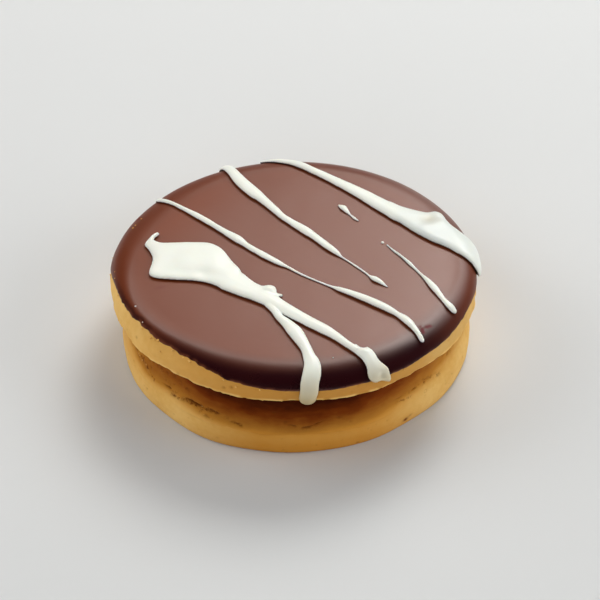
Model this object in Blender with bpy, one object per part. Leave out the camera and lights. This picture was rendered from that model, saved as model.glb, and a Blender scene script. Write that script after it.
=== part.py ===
"""A chocolate alfajor: two round shortcrust biscuits with milk caramel between them.

The top biscuit wears a skin of dark chocolate, which stops part of the way down its
side, and a drizzle of white chocolate lies fused on that skin. One thread of the drizzle
runs down over the side as a drip.

Frame: metres, +Z up. The origin is the centre of the lower biscuit's flat underside,
which is the face that the alfajor rests on. -Y is the side with the drip.
"""

import math

import bpy
import numpy as np

MM = 0.001

# Driving dimensions
TOP_RADIUS = 40.0 * MM  # top biscuit with its chocolate, at the lower rim
TOP_THICKNESS = 6.3 * MM  # lower rim to the flat of the chocolate
TOP_RIM_HEIGHT = 14.8 * MM  # from the table to the rim's plane, at the centre
LOWER_RADIUS = 38.3 * MM
LOWER_HEIGHT = 8.8 * MM
FILLING_RADIUS = 37.2 * MM

# How the top biscuit sits on the rest
TOP_SHIFT = 0.5 * MM  # towards +Y
TOP_SLOPE = (0.007, -0.035)  # rise along +X and along +Y: its drip side sits higher
TOP_OVAL = 0.985  # its length along Y over its length along X

# The rounded shoulder between the top's flat and its upright side
SHOULDER_WIDTH = 5.7 * MM
SIDE_HEIGHT = 2.4 * MM  # upright part, from the rim up to the shoulder

# The chocolate skin
SKIN_THICKNESS = 1.1 * MM
SKIN_EDGE = 0.5 * MM  # thickness along its lower edge
SKIN_PROUD = 0.15 * MM  # how far that edge stands out from the bare biscuit below it
SKIN_REACH = 40.0 * MM  # from the centre to the edge, measured over the shoulder
SKIN_RINGS = (0.0, 0.25, 0.5, 0.75, 0.94)  # shares of the way over the shoulder to the lip
FLAT_RINGS = (0.66, 0.33)  # shares of the flat's radius
GAP = 0.3 * MM  # clear space kept between neighbouring pieces

# The top biscuit inside it
BARE_START = 0.45 * MM  # from the skin's edge down to where the bare side begins
BISCUIT_RINGS = (1.0, 0.75, 0.5, 0.25, 0.0)  # shares of the way over the shoulder
RIM_EASE = 0.25 * MM  # rounding of the rim's sharp corner
UNDERSIDE_INSET = 2.0 * MM  # from the rim to the ring that carries the flat underside

# Unevenness round the edge: (waves in one turn, size, direction of a crest)
LOWER_WAVES = (
    (3, 0.40 * MM, math.radians(234)),
    (8, 0.12 * MM, math.radians(20)),
    (13, 0.08 * MM, math.radians(75)),
)
RIM_WAVES = (
    (9, 0.20 * MM, math.radians(254)),
    (17, 0.12 * MM, math.radians(8)),
)
FILLING_WAVES = (
    (2, 0.40 * MM, math.radians(195)),
    (7, 0.15 * MM, math.radians(40)),
    (15, 0.10 * MM, math.radians(5)),
)
EDGE_WAVES = (
    (1, 0.90 * MM, math.radians(330)),
    (2, 1.20 * MM, math.radians(297)),
    (9, 0.14 * MM, math.radians(292)),
    (19, 0.12 * MM, math.radians(4)),
    (31, 0.09 * MM, math.radians(50)),
)

# The drizzle: each thread is a list of stations (u, v, half width, height), in
# millimetres, on a map of the top that is flattened out from its centre, so that a
# station past the flat lies on the shoulder or on the side.
DRIZZLE_THREADS = {
    "pool": [
        (-30.4, -1.0, 5.5, 0.9), (-28.6, -1.2, 6.2, 1.0), (-25.5, -1.3, 6.7, 1.1),
        (-22.2, -1.6, 6.9, 1.1), (-19.7, -2.0, 6.7, 1.1), (-17.7, -3.7, 5.5, 1.1),
        (-15.2, -7.0, 4.1, 1.1), (-10.3, -11.1, 2.8, 1.1), (-5.3, -14.8, 2.3, 1.1),
        (-0.8, -18.9, 1.9, 1.0), (3.6, -22.8, 1.75, 0.9), (8.6, -26.2, 1.7, 0.9),
        (13.0, -30.3, 1.5, 1.0), (15.4, -32.6, 1.8, 1.0), (17.6, -35.4, 2.3, 1.1),
        (18.8, -36.6, 2.4, 1.1),
    ],
    "drip": [
        (-4.4, -16.4, 1.2, 0.7), (-2.6, -20.2, 1.1, 0.8), (-0.4, -23.6, 1.7, 0.9),
        (1.0, -26.4, 1.6, 1.0), (2.5, -29.8, 1.35, 1.0), (3.8, -34.6, 1.8, 1.0),
        (3.8, -38.0, 1.9, 1.0), (3.6, -41.0, 1.9, 1.1), (3.4, -43.2, 1.9, 1.2),
    ],
    "hook": [
        (-31.0, 2.6, 1.3, 0.7), (-31.9, 4.8, 0.9, 0.7), (-31.2, 6.9, 0.6, 0.6),
        (-30.0, 8.0, 0.4, 0.5),
    ],
    "knob": [
        (-6.4, -12.8, 1.6, 0.9), (-4.6, -12.4, 1.2, 0.9), (-3.3, -13.5, 0.6, 0.7),
        (-2.2, -13.9, 0.4, 0.5),
    ],
    "long thread": [
        (-31.6, 23.6, 0.4, 0.5), (-26.7, 19.1, 0.6, 0.6), (-20.7, 13.9, 0.65, 0.6),
        (-14.8, 7.9, 0.75, 0.6), (-9.0, 2.4, 0.75, 0.6), (-3.3, -2.5, 0.5, 0.5),
        (2.2, -6.0, 0.4, 0.5), (7.7, -9.9, 0.65, 0.6), (13.1, -12.9, 0.9, 0.7),
        (18.4, -16.3, 0.95, 0.7), (22.5, -19.6, 1.05, 0.8), (24.6, -22.9, 0.8, 0.7),
        (26.7, -26.4, 0.7, 0.7),
    ],
    "middle thread": [
        (-17.9, 37.6, 1.2, 0.9), (-15.7, 33.8, 1.45, 0.9), (-13.2, 29.6, 1.35, 0.8),
        (-9.6, 23.6, 1.45, 0.8), (-6.6, 19.7, 1.3, 0.8), (-3.6, 15.9, 1.0, 0.7),
        (2.1, 9.8, 0.9, 0.7), (7.7, 3.8, 0.85, 0.6), (11.1, -0.6, 0.4, 0.4),
        (15.9, -5.9, 0.4, 0.4), (18.5, -8.4, 0.7, 0.6), (20.0, -9.7, 0.4, 0.4),
    ],
    "rear thread": [
        (-9.6, 37.0, 0.6, 0.6), (-4.0, 36.0, 0.7, 0.7), (0.6, 35.0, 0.9, 0.7),
        (5.0, 31.8, 1.1, 0.8), (10.1, 27.7, 1.35, 0.9), (14.8, 23.9, 1.7, 1.0),
        (19.3, 20.3, 2.3, 1.1), (23.9, 16.6, 3.0, 1.3), (28.9, 13.0, 4.0, 1.5),
        (32.2, 9.8, 4.0, 1.5), (35.3, 6.6, 3.6, 1.3), (38.2, 4.0, 3.2, 1.2),
        (40.7, 1.4, 2.6, 1.0),
    ],
    "short dab": [(10.5, 18.7, 0.6, 0.5), (11.6, 17.4, 0.5, 0.5), (14.0, 13.9, 0.3, 0.4)],
    "right thread": [
        (20.8, 3.8, 0.3, 0.4), (24.4, -0.5, 0.5, 0.5), (27.5, -5.8, 0.65, 0.6),
        (30.4, -11.7, 0.85, 0.7), (32.6, -15.4, 0.65, 0.6), (33.5, -16.7, 0.7, 0.6),
    ],
}
THREAD_SINK = 0.5 * MM  # how far a thread reaches into the skin below it
THREAD_LIFT_RUN = 1.5 * MM  # before the skin's edge, over which its underside rises clear
THREAD_LEAST_DEPTH = 0.1 * MM
THREAD_TIP_LIFT = 0.3 * MM  # of a round end's tip, above the thread's underside
THREAD_STEP = 2.0 * MM  # between a thread's cross-sections
LONGEST_CAP = 1.2 * MM  # of a thread's rounded end
DOME = np.linspace(0.0, math.pi, 7)  # directions across a thread's rounded top
UNDERSIDE_PLACES = (-0.8, 0.0, 0.8)  # shares of its half width
CAP_RINGS = 3

SEGMENTS = 72  # round each biscuit
TURN = np.arange(SEGMENTS) * 2.0 * math.pi / SEGMENTS
SHOULDER_STEPS = 200  # for measuring the shoulder's curve
SHARP_ANGLE = math.radians(40)  # edges sharper than this stay sharp when shaded

# Lower biscuit's outline from the table up: (inset from its radius, height)
LOWER_PROFILE = (
    (2.2 * MM, 0.0),
    (0.7 * MM, 0.0),
    (0.1 * MM, 0.35 * MM),
    (0.0, 1.4 * MM),
    (-0.1 * MM, 3.2 * MM),
    (0.15 * MM, 5.2 * MM),
    (0.6 * MM, 6.8 * MM),
    (1.4 * MM, 8.1 * MM),
    (2.7 * MM, 8.7 * MM),
    (4.4 * MM, LOWER_HEIGHT),
)
# Filling's outline from its base up: (share of its height, inset from its radius)
FILLING_PROFILE = (
    (0.0, 1.2 * MM),
    (0.08, 0.1 * MM),
    (0.3, -0.25 * MM),
    (0.6, 0.2 * MM),
    (0.9, 1.0 * MM),
    (1.0, 1.8 * MM),
)


def clear_scene():
    """Remove whatever objects the file opened with."""
    for found in list(bpy.data.objects):
        bpy.data.objects.remove(found, do_unlink=True)


def food_material(name, colour, roughness):
    """A plain Principled material in one linear colour."""
    material = bpy.data.materials.new(name)
    material.use_nodes = True
    shader = material.node_tree.nodes["Principled BSDF"]
    shader.inputs["Base Color"].default_value = (*colour, 1.0)
    shader.inputs["Roughness"].default_value = roughness
    shader.inputs["Metallic"].default_value = 0.0
    return material


def waviness(angle, waves):
    """Sum of cosines round the edge, one for each (count, size, crest)."""
    return sum(size * np.cos(count * (angle - crest)) for count, size, crest in waves)


def closed_body(rings, first, last):
    """Points and faces of rings joined in order and closed at both ends by a point.

    The rings run round anticlockwise seen from above, and go from the end at the
    bottom, outwards and up, to the end at the top.
    """
    count, around = len(rings), len(rings[0])
    points = np.vstack([np.reshape(rings, (-1, 3)), [first, last]])
    here = np.arange(around)
    after = (here + 1) % around
    faces = []
    for ring in range(count - 1):
        low, high = ring * around, (ring + 1) * around
        quads = np.stack([low + here, low + after, high + after, high + here], 1)
        faces += quads.tolist()
    top = (count - 1) * around
    faces += [[count * around, int(b), int(a)] for a, b in zip(here, after)]
    faces += [[top + int(a), top + int(b), count * around + 1] for a, b in zip(here, after)]
    return points, faces


def add_piece(name, points, faces, material):
    """Link a new object that holds the points and faces, shaded smooth."""
    mesh = bpy.data.meshes.new(name)
    mesh.from_pydata(points.tolist(), [], faces)
    mesh.materials.append(material)
    mesh.shade_smooth()
    mesh.set_sharp_from_angle(angle=SHARP_ANGLE)
    piece = bpy.data.objects.new(name, mesh)
    bpy.context.scene.collection.objects.link(piece)
    return piece


# The top's curved surface, shared by its biscuit, its skin and the drizzle

FLAT_RADIUS = TOP_RADIUS - SHOULDER_WIDTH
SHOULDER_RISE = TOP_THICKNESS - SIDE_HEIGHT


def shoulder_length():
    """Length of the quarter ellipse that the shoulder follows."""
    swing = np.linspace(0.0, math.pi / 2, SHOULDER_STEPS)
    out, up = SHOULDER_WIDTH * np.sin(swing), SHOULDER_RISE * np.cos(swing)
    return float(np.hypot(np.diff(out), np.diff(up)).sum())


SHOULDER_END = FLAT_RADIUS + shoulder_length()
RIM_REACH = SHOULDER_END + SIDE_HEIGHT


def rim_plane(x, y):
    """Height of the tilted plane that the top biscuit's rim lies in."""
    return TOP_RIM_HEIGHT + TOP_SLOPE[0] * x + TOP_SLOPE[1] * y


def top_surface(u, v, lift):
    """Points `lift` above the top's outer surface, for places on its flattened map.

    The distance from the map's centre is walked over the flat, then round the quarter
    ellipse of the shoulder, then straight down the side. Each point is pushed out along
    the surface's own direction, and then tilted with the top biscuit.
    """
    reach = np.maximum(np.hypot(u, v), 1e-9)
    along_x, along_y = u / reach, v / reach
    swing = np.clip((reach - FLAT_RADIUS) / (SHOULDER_END - FLAT_RADIUS), 0.0, 1.0) * math.pi / 2
    radius = np.minimum(reach, FLAT_RADIUS) + SHOULDER_WIDTH * np.sin(swing)
    height = SIDE_HEIGHT + SHOULDER_RISE * np.cos(swing) - np.maximum(reach - SHOULDER_END, 0.0)
    out, up = SHOULDER_RISE * np.sin(swing), SHOULDER_WIDTH * np.cos(swing)
    length = np.hypot(out, up)
    down = np.clip((reach - FLAT_RADIUS) / (RIM_REACH - FLAT_RADIUS), 0.0, 1.0)
    ripple = waviness(np.arctan2(v, u), RIM_WAVES) * down**3
    radius = radius + ripple + lift * out / length
    height = height + lift * up / length
    x = along_x * radius
    y = along_y * radius * TOP_OVAL + TOP_SHIFT
    return np.stack([x, y, rim_plane(x, y) + height], -1)


def skin_reach(angle):
    """How far over the shoulder the chocolate comes, in each direction."""
    return SKIN_REACH + waviness(angle, EDGE_WAVES)


def skin_thickness(share):
    """Thickness of the skin at a share of the way from the flat's edge to its own edge."""
    return SKIN_THICKNESS + (SKIN_EDGE - SKIN_THICKNESS) * share**2


def top_ring(reach, lift):
    """One ring round the top's surface at a reach from the centre, `lift` above it."""
    return top_surface(reach * np.cos(TURN), reach * np.sin(TURN), lift)


def add_lower_biscuit(material):
    """Turned body with a bulging side, an eased top edge and a flat underside."""
    wave = waviness(TURN, LOWER_WAVES)
    rings = []
    for inset, height in LOWER_PROFILE:
        radius = LOWER_RADIUS - inset + wave
        rings.append(np.stack([radius * np.cos(TURN), radius * np.sin(TURN), 0 * TURN + height], -1))
    ends = (0.0, 0.0, 0.0), (0.0, 0.0, LOWER_HEIGHT)
    return add_piece("bottom_biscuit", *closed_body(rings, *ends), material)


def add_filling(material):
    """Layer of caramel that fills the wedge between the two biscuits."""
    base = LOWER_HEIGHT + GAP
    wave = waviness(TURN, FILLING_WAVES)
    rings = []
    for share, inset in FILLING_PROFILE:
        radius = FILLING_RADIUS - inset + wave
        x, y = radius * np.cos(TURN), radius * np.sin(TURN)
        height = base + share * (rim_plane(x, y) - GAP - base)
        rings.append(np.stack([x, y, height], -1))
    ends = (0.0, 0.0, base), (0.0, 0.0, rim_plane(0.0, 0.0) - GAP)
    return add_piece("filling", *closed_body(rings, *ends), material)


def add_top_biscuit(material):
    """Top biscuit: bare along its rim, sunk under the chocolate by skin and gap."""
    edge = skin_reach(TURN)
    rings = [
        top_ring(RIM_REACH, -UNDERSIDE_INSET),
        top_ring(RIM_REACH, -RIM_EASE),
        top_ring(RIM_REACH - RIM_EASE, 0.0),
        top_ring(0.5 * (edge + RIM_REACH), 0.0),
        top_ring(edge + BARE_START, 0.0),
    ]
    for share in BISCUIT_RINGS:
        reach = FLAT_RADIUS + share * (edge - FLAT_RADIUS)
        rings.append(top_ring(reach, SKIN_PROUD * share - skin_thickness(share) - GAP))
    centre = top_surface(0.0, 0.0, -SKIN_THICKNESS - GAP)
    under = (0.0, TOP_SHIFT, rim_plane(0.0, TOP_SHIFT))
    return add_piece("top_biscuit", *closed_body(rings, under, centre), material)


def skin_body():
    """Points and faces of the chocolate skin, an upturned bowl with a rounded lip."""
    edge = skin_reach(TURN)
    inner, outer = [], []
    for share in SKIN_RINGS:
        reach = FLAT_RADIUS + share * (edge - FLAT_RADIUS)
        inner.append(top_ring(reach, SKIN_PROUD * share - skin_thickness(share)))
        outer.insert(0, top_ring(reach, SKIN_PROUD * share))
    lip = [top_ring(edge, SKIN_PROUD - 0.5 * SKIN_EDGE)]
    for share in FLAT_RINGS:
        outer.append(top_ring(share * FLAT_RADIUS, 0.0))
    ends = top_surface(0.0, 0.0, -SKIN_THICKNESS), top_surface(0.0, 0.0, 0.0)
    return closed_body(inner + lip + outer, *ends)


def smooth_stations(stations):
    """Stations spaced THREAD_STEP apart on a smooth curve through the given ones."""
    given = np.array(stations) * MM
    ahead = np.vstack([2 * given[0] - given[1], given, 2 * given[-1] - given[-2]])
    runs = []
    for a, b, c, d in zip(ahead, ahead[1:], ahead[2:], ahead[3:]):
        parts = max(1, round(float(np.hypot(*(c - b)[:2])) / THREAD_STEP))
        t = (np.arange(parts) / parts)[:, None]
        curve = (b - c) * 1.5 + (d - a) * 0.5
        runs.append(b + t * (c - a) * 0.5 + t**2 * (a - 2.5 * b + 2 * c - 0.5 * d) + t**3 * curve)
    return np.vstack(runs + [given[-1:]])


def thread_underside(u, v):
    """Level of a thread's underside: sunk in the skin, and clear of bare biscuit."""
    past_edge = np.hypot(u, v) - skin_reach(np.arctan2(v, u))
    share = np.clip(1.0 + past_edge / THREAD_LIFT_RUN, 0.0, 1.0)
    return -THREAD_SINK + share * (THREAD_SINK + GAP + THREAD_LEAST_DEPTH)


def thread_sections(stations):
    """Rows of place, half width, height and heading, one for each cross-section.

    Both ends are round: along a cap as long as the thread's half width, and at most
    LONGEST_CAP, the sections shrink to nothing as a quarter circle does.
    """
    path = smooth_stations(stations)
    heading = np.gradient(path[:, :2], axis=0)
    heading /= np.linalg.norm(heading, axis=1)[:, None]
    swing = np.linspace(0.0, math.pi / 2, CAP_RINGS + 1)[:-1, None]
    caps = []
    for end, sign in ((0, -1.0), (-1, 1.0)):
        length = min(path[end, 2], LONGEST_CAP)
        place = path[end, :2] + sign * length * heading[end] * np.cos(swing)
        size = path[end, 2:] * np.sin(swing)
        caps.append(np.hstack([place, size, 0 * place + heading[end]]))
    return np.vstack([caps[0], np.hstack([path, heading]), caps[1][::-1]])


def thread_body(stations):
    """Points and faces of one thread: domed sections along its line, closed at its tips."""
    sections = thread_sections(stations)
    u, v, half, height, way_u, way_v = sections[1:-1].T[:, :, None]
    across = half * np.hstack([np.cos(DOME), UNDERSIDE_PLACES])
    at_u, at_v = u + way_v * across, v - way_u * across
    below = thread_underside(at_u, at_v)
    dome, underside = np.split(below, [len(DOME)], axis=1)
    dome = np.maximum(height * np.sin(DOME), dome + THREAD_LEAST_DEPTH)
    rings = top_surface(at_u, at_v, np.hstack([dome, underside]))
    tips = []
    for tip_u, tip_v in sections[[0, -1], :2]:
        tips.append(top_surface(tip_u, tip_v, thread_underside(tip_u, tip_v) + THREAD_TIP_LIFT))
    return closed_body(rings[:, ::-1], *tips)


def add_topping(material):
    """Chocolate skin with every thread of the drizzle fused on by one Boolean union."""
    topping = add_piece("chocolate_topping", *skin_body(), material)
    threads = bpy.data.collections.new("drizzle_threads")
    bpy.context.scene.collection.children.link(threads)
    for name, stations in DRIZZLE_THREADS.items():
        thread = add_piece(name.replace(" ", "_"), *thread_body(stations), material)
        bpy.context.scene.collection.objects.unlink(thread)
        threads.objects.link(thread)
    fuse = topping.modifiers.new("fuse", "BOOLEAN")
    fuse.operation = "UNION"
    fuse.operand_type = "COLLECTION"
    fuse.collection = threads
    fuse.solver = "EXACT"
    bpy.context.view_layer.update()
    evaluated = topping.evaluated_get(bpy.context.evaluated_depsgraph_get())
    fused = bpy.data.meshes.new_from_object(evaluated)
    topping.modifiers.clear()
    topping.data = fused
    for thread in list(threads.objects):
        bpy.data.objects.remove(thread, do_unlink=True)
    bpy.data.collections.remove(threads)
    return topping


def main():
    clear_scene()
    biscuit = food_material("biscuit", (0.58, 0.33, 0.11), 0.75)
    caramel = food_material("caramel", (0.24, 0.09, 0.02), 0.45)
    chocolate = food_material("chocolate", (0.055, 0.019, 0.012), 0.3)
    add_lower_biscuit(biscuit)
    add_filling(caramel)
    add_top_biscuit(biscuit)
    add_topping(chocolate)


main()
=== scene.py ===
# %% [markdown]
# # A chocolate alfajor
#
# An alfajor is a sandwich of two round shortcrust biscuits with milk caramel between
# them. The top one of this alfajor wears a skin of dark chocolate, and a spoon of white
# chocolate was flicked over it before it set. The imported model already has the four
# layers at their true size. This script makes the surface of each one: crumb, cracks,
# the ragged edge of the chocolate, and the drizzle's rounded beads.
#
# Every piece here is a sheet of points worked out with numpy, because each of them is
# either turned about the upright axis or lies over the top like a relief map, and both
# are short formulas of two numbers.

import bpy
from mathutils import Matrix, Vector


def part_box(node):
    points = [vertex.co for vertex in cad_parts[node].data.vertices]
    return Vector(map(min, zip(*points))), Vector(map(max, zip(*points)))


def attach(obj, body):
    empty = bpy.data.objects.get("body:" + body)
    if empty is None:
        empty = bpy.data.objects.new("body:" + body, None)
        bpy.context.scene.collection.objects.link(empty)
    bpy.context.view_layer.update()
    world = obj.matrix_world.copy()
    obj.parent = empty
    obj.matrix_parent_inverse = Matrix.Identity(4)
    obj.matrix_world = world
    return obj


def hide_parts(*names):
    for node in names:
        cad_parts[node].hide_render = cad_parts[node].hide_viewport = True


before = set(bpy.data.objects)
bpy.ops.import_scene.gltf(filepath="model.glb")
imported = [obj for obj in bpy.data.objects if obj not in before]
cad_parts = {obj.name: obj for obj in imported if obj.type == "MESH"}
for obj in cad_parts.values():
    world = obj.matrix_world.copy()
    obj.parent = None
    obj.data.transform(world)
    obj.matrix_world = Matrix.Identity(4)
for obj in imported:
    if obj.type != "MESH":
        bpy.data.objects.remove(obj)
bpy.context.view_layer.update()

# %% Modules and units
import itertools
import math

import bpy
import numpy as np
from mathutils import Matrix, Vector

MM = 0.001
RIGHT_ANGLE = math.pi / 2

# %% [markdown]
# ## A shorthand for node sums
#
# A finish is mostly arithmetic on patterns: a patch here, a bit darker there. Wiring
# Math nodes by hand hides that, so `Wire` wraps one output socket and lets Python's own
# signs add the nodes. `Finish` holds one material, and its `node` method makes any
# other node from its type, its settings and what goes into its sockets.


# %% Wire
class Wire:
    """One output socket. The signs +, - and * on it add Math nodes."""

    def __init__(self, finish, socket):
        self.finish, self.socket = finish, socket

    def _math(self, operation, first, second):
        return self.finish.node("Math", {"operation": operation}, {0: first, 1: second})

    def __add__(self, other):
        return self._math("ADD", self, other)

    def __sub__(self, other):
        return self._math("SUBTRACT", self, other)

    def __mul__(self, other):
        return self._math("MULTIPLY", self, other)

    def __rsub__(self, other):
        return self._math("SUBTRACT", other, self)

    __radd__ = __add__
    __rmul__ = __mul__

    def clamped(self):
        return self.finish.node("Clamp", {}, {"Value": self})


# %% Finish
class Finish:
    """A material being made: one Principled shader and the nodes that feed it."""

    def __init__(self, name, constants):
        self.material = bpy.data.materials.new(name)
        self.material.use_nodes = True
        self.tree = self.material.node_tree
        self.shader = self.tree.nodes["Principled BSDF"]
        for socket, value in constants.items():
            self.shader.inputs[socket].default_value = value
        self.place = self.node("TexCoord", {}, {}, "Object")

    def node(self, kind, settings, inputs, output=0):
        """Add a node: its settings first, then a value or a wire for each socket."""
        made = self.tree.nodes.new("ShaderNode" + kind)
        for name, value in settings.items():
            if name == "stops":
                self._set_stops(made.color_ramp, value)
            else:
                setattr(made, name, value)
        for name, value in inputs.items():
            self._feed(made.inputs[name], value)
        return Wire(self, made.outputs[output])

    def _set_stops(self, ramp, stops):
        while len(ramp.elements) < len(stops):
            ramp.elements.new(1.0)
        for element, (position, colour) in zip(ramp.elements, stops):
            element.position = position
            element.color = (*colour, 1.0)

    def _feed(self, socket, value):
        if isinstance(value, Wire):
            self.tree.links.new(value.socket, socket)
        else:
            socket.default_value = value

    def shade(self, socket, wire):
        """Let a wire drive one of the shader's own sockets."""
        self._feed(self.shader.inputs[socket], wire)

    def noise(self, size, detail=2.0, roughness=0.5, stretch=(1.0, 1.0, 1.0)):
        """Clouds between 0 and 1, whose largest patches are about `size` metres."""
        placed = self.node("Mapping", {}, {"Vector": self.place, "Scale": stretch})
        sockets = {"Vector": placed, "Scale": 1.0 / size, "Detail": detail, "Roughness": roughness}
        return self.node("TexNoise", {}, sockets)

    def step(self, wire, low, high):
        """0 below `low`, 1 above `high`, and an S-curve between them."""
        sockets = {"Value": wire, "From Min": low, "From Max": high}
        return self.node("MapRange", {"interpolation_type": "SMOOTHSTEP"}, sockets)

    def mix(self, share, first, second):
        """The first colour where the share is 0, the second where it is 1."""
        sockets = {0: share, 6: first, 7: second}
        return self.node("Mix", {"data_type": "RGBA"}, sockets, 2)

    def mark(self, name):
        """A number that the mesh carries at each of its points."""
        return self.node("Attribute", {"attribute_name": name}, {}, "Fac")

    def bump(self, height, depth, below=None):
        """Lean the surface as if `height` times `depth` metres stood out of it."""
        sockets = {"Height": height, "Distance": depth}
        if below is not None:
            sockets["Normal"] = below
        return self.node("Bump", {}, sockets)


def rgb(red, green, blue):
    """A colour for a node's socket, from linear values."""
    return (red, green, blue, 1.0)


# %% [markdown]
# ## Random, but the same every time
#
# Baked dough is uneven at every scale. `speckle` gives a smooth random value for any
# point in space: space is cut into cubes, each corner gets a fixed random number, and
# a point takes the mix of its eight corners. Adding a few sizes of it makes lumps with
# crumbs on them. It works on whole arrays, so a hundred thousand points take a moment.

# %% Speckle and lumps
TABLE_SIZE = 8192
CORNERS = list(itertools.product((0, 1), repeat=3))
NEIGHBOURS = list(itertools.product((-1, 0, 1), repeat=3))
HASH_STEPS = np.array([73856093, 19349663, 83492791])


def random_table(seed, low=-1.0, high=1.0):
    """Fixed random numbers, one of which `table_places` picks for each cube."""
    return np.random.default_rng(seed).uniform(low, high, TABLE_SIZE)


def table_places(cells):
    """Which number of a random table belongs to each cube of space."""
    return np.bitwise_xor.reduce(cells * HASH_STEPS, axis=-1) % TABLE_SIZE


def speckle(points, size, seed):
    """Smooth random value from -1 to 1 that changes over about `size` metres.

    Formula: the sum over a cube's corners of the corner's random number times its
    weight, which is the product over x, y and z of t or 1 - t, eased by 3t² - 2t³.
    """
    table = random_table(seed)
    cells = np.floor(points / size).astype(int)
    t = points / size - cells
    t = t * t * (3 - 2 * t)
    total = 0.0
    for corner in CORNERS:
        weight = np.prod(np.where(corner, t, 1 - t), axis=-1)
        total = total + weight * table[table_places(cells + corner)]
    return total


def lumps(points, layers, seed):
    """Sum of speckles, one for each (size, height) in millimetres."""
    return sum(h * MM * speckle(points, s * MM, seed + n) for n, (s, h) in enumerate(layers))


print("speckle at three places:", np.round(speckle(np.eye(3), 0.3, 1), 2))


# %% Pits
def pits(points, spacing, radius, share, seed):
    """Depth from 0 to 1 of small round holes strewn through space.

    Each cube of side `spacing` holds one centre at a random place, and only a share of
    the cubes has one. Depth is the bell exp(-(distance / radius)²), largest one first.
    """
    tables = [random_table(seed + n, 0.0, 1.0) for n in range(5)]
    home = np.floor(points / spacing).astype(int)
    depth = np.zeros(points.shape[:-1])
    for step in NEIGHBOURS:
        cells = home + step
        place = table_places(cells)
        centre = (cells + np.stack([t[place] for t in tables[:3]], -1)) * spacing
        size = radius * (0.5 + tables[3][place])
        squared = ((points - centre) ** 2).sum(-1) / size**2
        depth = np.maximum(depth, np.exp(-squared) * (tables[4][place] < share))
    return depth


# %% [markdown]
# ## Curves and turned sheets
#
# A biscuit's side is a profile carried round the upright axis. `smooth_path` runs a
# smooth curve through a few given points, so that a profile or a line of drizzle
# needs only the points that its shape asks for. `turned_sheet` joins rings of points
# into one closed skin. The rings run anticlockwise, from the underside out and up to
# the top, which makes the faces point outwards.


# %% Smooth curve
def smooth_path(stations, spacing, closed=False):
    """Points about `spacing` apart on a smooth curve through the stations.

    Between stations b and c, with a before and d after them, it follows
    b + t(c - a)/2 + t²(a - 5b/2 + 2c - d/2) + t³(3(b - c) + d - a)/2, t from 0 to 1.
    Distance is measured on the first two numbers of a station. A closed curve goes on
    from the last station to the first.
    """
    given = np.array(stations, float)
    if closed:
        ahead = np.vstack([given[-1], given, given[:2]])
    else:
        ahead = np.vstack([2 * given[0] - given[1], given, 2 * given[-1] - given[-2]])
    runs = []
    for a, b, c, d in zip(ahead, ahead[1:], ahead[2:], ahead[3:]):
        parts = max(1, round(float(np.hypot(*(c - b)[:2])) / spacing))
        t = (np.arange(parts) / parts)[:, None]
        square, cube = a - 2.5 * b + 2 * c - 0.5 * d, 1.5 * (b - c) + 0.5 * (d - a)
        runs.append(b + t * (c - a) * 0.5 + t**2 * square + t**3 * cube)
    return np.vstack(runs + [ahead[-2:-1]])


print("points on a curve:", len(smooth_path([(0, 0), (1, 1), (2, 0)], 0.1)))


# %% Rings and meshes
def outward(rings):
    """Unit direction out of a turned sheet at each of its points.

    It is the cross product of the way round the ring and the way to the next ring.
    """
    round_it = np.roll(rings, -1, axis=1) - np.roll(rings, 1, axis=1)
    onward = np.gradient(rings, axis=0)
    out = np.cross(round_it, onward)
    return out / np.maximum(np.linalg.norm(out, axis=-1, keepdims=True), 1e-12)


def add_mesh(name, points, faces, marks, finish):
    """Make an object from points and faces, with numbers that its finish reads."""
    mesh = bpy.data.meshes.new(name)
    mesh.from_pydata(points.tolist(), [], faces)
    for mark, values in marks.items():
        layer = mesh.attributes.new(mark, "FLOAT", "POINT")
        layer.data.foreach_set("value", np.ravel(values).astype(np.float32))
    mesh.materials.append(finish.material)
    mesh.shade_smooth()
    piece = bpy.data.objects.new(name, mesh)
    bpy.context.scene.collection.objects.link(piece)
    size = (points.max(0) - points.min(0)) / MM
    print(f"{name}: {len(points)} points, {len(faces)} faces, {np.round(size, 1)} mm")
    return piece


def ring_faces(count, around):
    """Squares between neighbouring rings, and a fan of triangles that closes each end.

    The middle of the first ring is point number count x around, that of the last ring
    is the next one.
    """
    here = np.arange(around)
    after = (here + 1) % around
    low = np.arange(count - 1)[:, None] * around
    quads = np.stack([low + here, low + after, low + around + after, low + around + here], -1)
    last = (count - 1) * around
    under = np.stack([here * 0 + count * around, after, here], -1)
    over = np.stack([last + here, last + after, here * 0 + count * around + 1], -1)
    return quads.reshape(-1, 4), np.vstack([under, over])


def turned_sheet(name, rings, marks, finish):
    """Join rings into one closed skin, with a point in the middle of each end."""
    quads, fans = ring_faces(*rings.shape[:2])
    points = np.vstack([rings.reshape(-1, 3), rings[[0, -1]].mean(axis=1)])
    ended = {mark: np.append(np.ravel(v), [v[0].mean(), v[-1].mean()]) for mark, v in marks.items()}
    return add_mesh(name, points, quads.tolist() + fans.tolist(), ended, finish)


def waviness(angle, waves):
    """Sum of cosines round an edge, each given as (count, millimetres, crest in degrees)."""
    return sum(
        size * MM * np.cos(count * (angle - math.radians(crest))) for count, size, crest in waves
    )


AROUND = 960
TURN = np.arange(AROUND) * 2 * math.pi / AROUND
print("points round each ring:", AROUND)
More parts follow.
